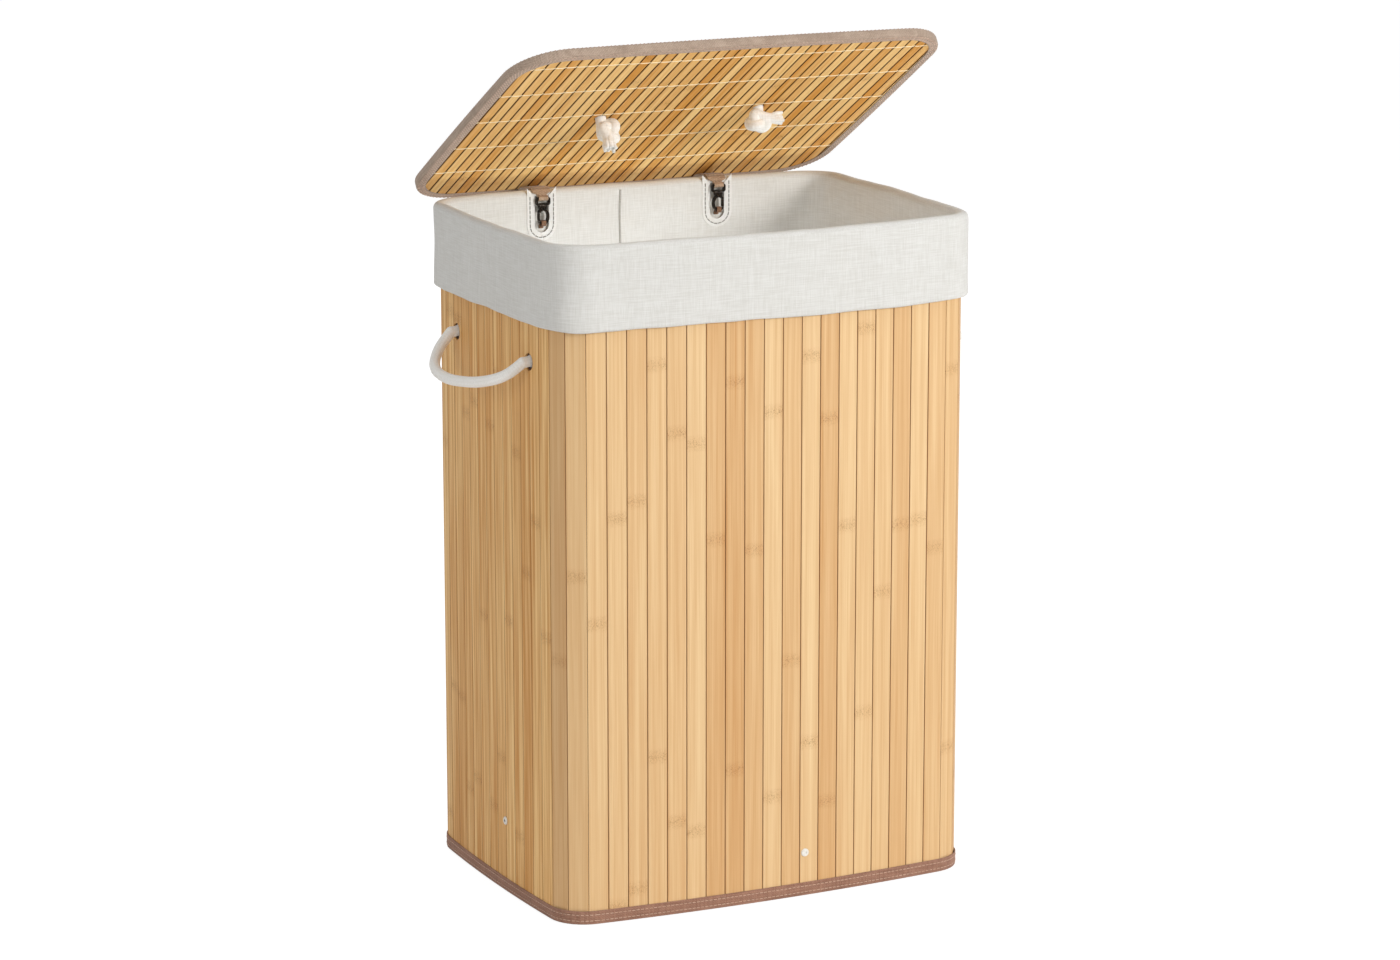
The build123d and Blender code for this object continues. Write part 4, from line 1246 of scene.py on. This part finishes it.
under = lid_place @ Matrix.Translation((0, LID_HANDLE_Y, 0)) @ Matrix.Rotation(pi, 4, "X")
knot_piece(
    "lid_knot_left", under @ Matrix.Translation((-HANDLE_HALF, 0, 0)), LID_THICK + ROPE_OUT,
    knot_route(("across", "over", "along"), 0.0050, 0.0118, 0.0028),
    ((0.0010, 0.0040, 0.0225), (-0.08, 0.1, 1)), "lid", "lid_knots",
)
knot_piece(
    "lid_knot_right", under @ Matrix.Translation((HANDLE_HALF, 0, 0)), LID_THICK + ROPE_OUT,
    knot_route(("along", "over", "across"), -0.0045, 0.0118, 0.0028),
    ((0.0095, 0.0040, 0.0118), (1, 0.1, 0.05)), "lid",
)
WALL_THICK = 0.0026
inner_face = WALL_FACE_X - WALL_THICK
for side, end in side_holes:
    place = Matrix.Translation((SIDES[side] * inner_face, ENDS[end], HANDLE_Z))
    knot_piece(
        "side_knot_%s_%s" % (side, end), place @ Matrix.Rotation(-SIDES[side] * pi / 2, 4, "Y"),
        WALL_THICK + ROPE_OUT, knot_route(("across", "along", "over"), 0.0, 0.0060, 0.0017),
        None, "hamper", *(["handle_knots_" + side] if end == "front" else []),
    )

# %% [markdown]
# Round each rope a dark rim of the hole is left to see. A flat brown ring a little inside the
# hole gives that rim: a round plate whose middle is inset and removed.

# %% Dark rims of the rope holes
HOLE_RADIUS = 0.0076
for side, end in side_holes:
    bpy.ops.mesh.primitive_circle_add(
        vertices=48, radius=HOLE_RADIUS, fill_type="NGON", rotation=(0, pi / 2, 0),
        location=(SIDES[side] * (inner_face + 0.0007), ENDS[end], HANDLE_Z),
    )
    ring = bpy.context.object
    freeze()
    hollow(ring, 0.0026)
    finish_modifier(ring, "SOLIDIFY", thickness=0.0005, offset=0.0)
    settle(ring, "hole_ring_%s_%s" % (side, end), "hamper", backing)

# %% [markdown]
# ## Painted shade in the side rivets
#
# The rivets in the narrow sides show a dark hollow in the middle of the white head. A tiny round
# plug with a rounded edge sits in the hollow; its dark colour is painted shade.

# %% Painted shade in the rivets
RIVET_SHADE_AT = (0.19985, 0.023, 0.064)
for side, sign in SIDES.items():
    bpy.ops.mesh.primitive_cylinder_add(
        vertices=24, radius=0.00128, depth=0.0003, rotation=(0, pi / 2, 0),
        location=(sign * RIVET_SHADE_AT[0], sign * RIVET_SHADE_AT[1], RIVET_SHADE_AT[2]),
    )
    rivet_shade_plug = bpy.context.object
    freeze()
    choose(rivet_shade_plug, "FACE", lambda at, way: sign * way.x > 0.9)
    bpy.ops.mesh.inset(thickness=0.0004)
    bpy.ops.transform.translate(value=(-sign * 0.0001, 0, 0))
    done_editing()
    # Painted shade: the plug is dark so that the rivet's hollow reads as shadow.
    settle(rivet_shade_plug, "rivet_shade_plug_" + side, "hamper", backing)

# %% [markdown]
# ## Light and floor
#
# Plain soft light: a large lamp to the front right, low enough to reach in under the lid, a wide
# weak one from the left, others from above and behind, and an even white surround. Two faint flat
# lamps inside the bag work as white cards laid there would: one on the floor lifts the lining and
# the underside of the lid, one near the front wall lifts the back wall.

# %% Lamps
world = bpy.data.worlds.new("studio")
bpy.context.scene.world = world
world.use_nodes = True
surround = world.node_tree.nodes["Background"]
surround.inputs["Color"].default_value = (1, 1, 1, 1)
surround.inputs["Strength"].default_value = 0.42


def lamp(name, place, size, power):
    """Square lamp that shines at the middle of the hamper."""
    data = bpy.data.lights.new(name, "AREA")
    data.size = size
    data.energy = power
    light = add_object(name, data)
    light.location = place
    way = Vector((0, 0, 0.35)) - Vector(place)
    light.rotation_euler = way.to_track_quat("-Z", "Y").to_euler()


def card(name, place, turn, width, depth, power, colour, spread=180):
    """Faint flat lamp inside the bag that is not seen itself, its spread in degrees."""
    data = bpy.data.lights.new(name, "AREA")
    data.shape = "RECTANGLE"
    data.size, data.size_y = width, depth
    data.energy = power
    data.color = colour
    data.spread = radians(spread)
    light = add_object(name, data)
    light.location = place
    light.rotation_euler = turn
    light.visible_camera = False


lamp("key_lamp", (1.75, -3.05, 1.50), 0.9, 76)
lamp("left_lamp", (-2.9, -1.0, 1.1), 1.6, 14)
lamp("top_lamp", (-0.3, -0.6, 3.2), 2.4, 14)
lamp("back_lamp", (0.9, 3.0, 1.5), 1.6, 16)

card(
    "inside_lamp", (0.03, -0.01, 0.09), (pi - 0.12, 0.22, 0), 0.22, 0.14, 0.85,
    (0.88, 0.94, 1.0),
)
card(
    "back_wall_lamp", (-0.03, -0.10, 0.45), (radians(96), 0, 0), 0.24, 0.05, 0.065,
    (0.84, 0.92, 1.0), spread=80,
)

print("lamps:", sorted(light.name for light in bpy.data.lights))

# %% [markdown]
# The floor is matt and nearly white, so only a soft shadow shows on it. Where the camera sees it
# directly, a white glow is mixed in. It runs on into the white surround and no horizon shows.

# %% Floor
bpy.ops.mesh.primitive_plane_add(size=60, location=(0, 0, -0.0006))
floor = bpy.context.object
floor.name = "studio_floor"
floor_paint, floor_surface, _ = new_finish("studio_floor")
floor_surface.inputs["Base Color"].default_value = (0.9, 0.9, 0.9, 1)
floor_surface.inputs["Roughness"].default_value = 1.0
seen = add_node("LightPath", out="Is Camera Ray")
share = add_node("Math", (seen, 0.62), operation="MULTIPLY")
paper = add_node("Emission", {"Color": (1, 1, 1, 1), "Strength": 1.4})
sheet = add_node("MixShader", (share, floor_surface.outputs[0], paper))
tree.links.new(sheet, tree.nodes["Material Output"].inputs["Surface"])
floor.data.materials.append(floor_paint)
print("floor finish:", floor_paint.name)
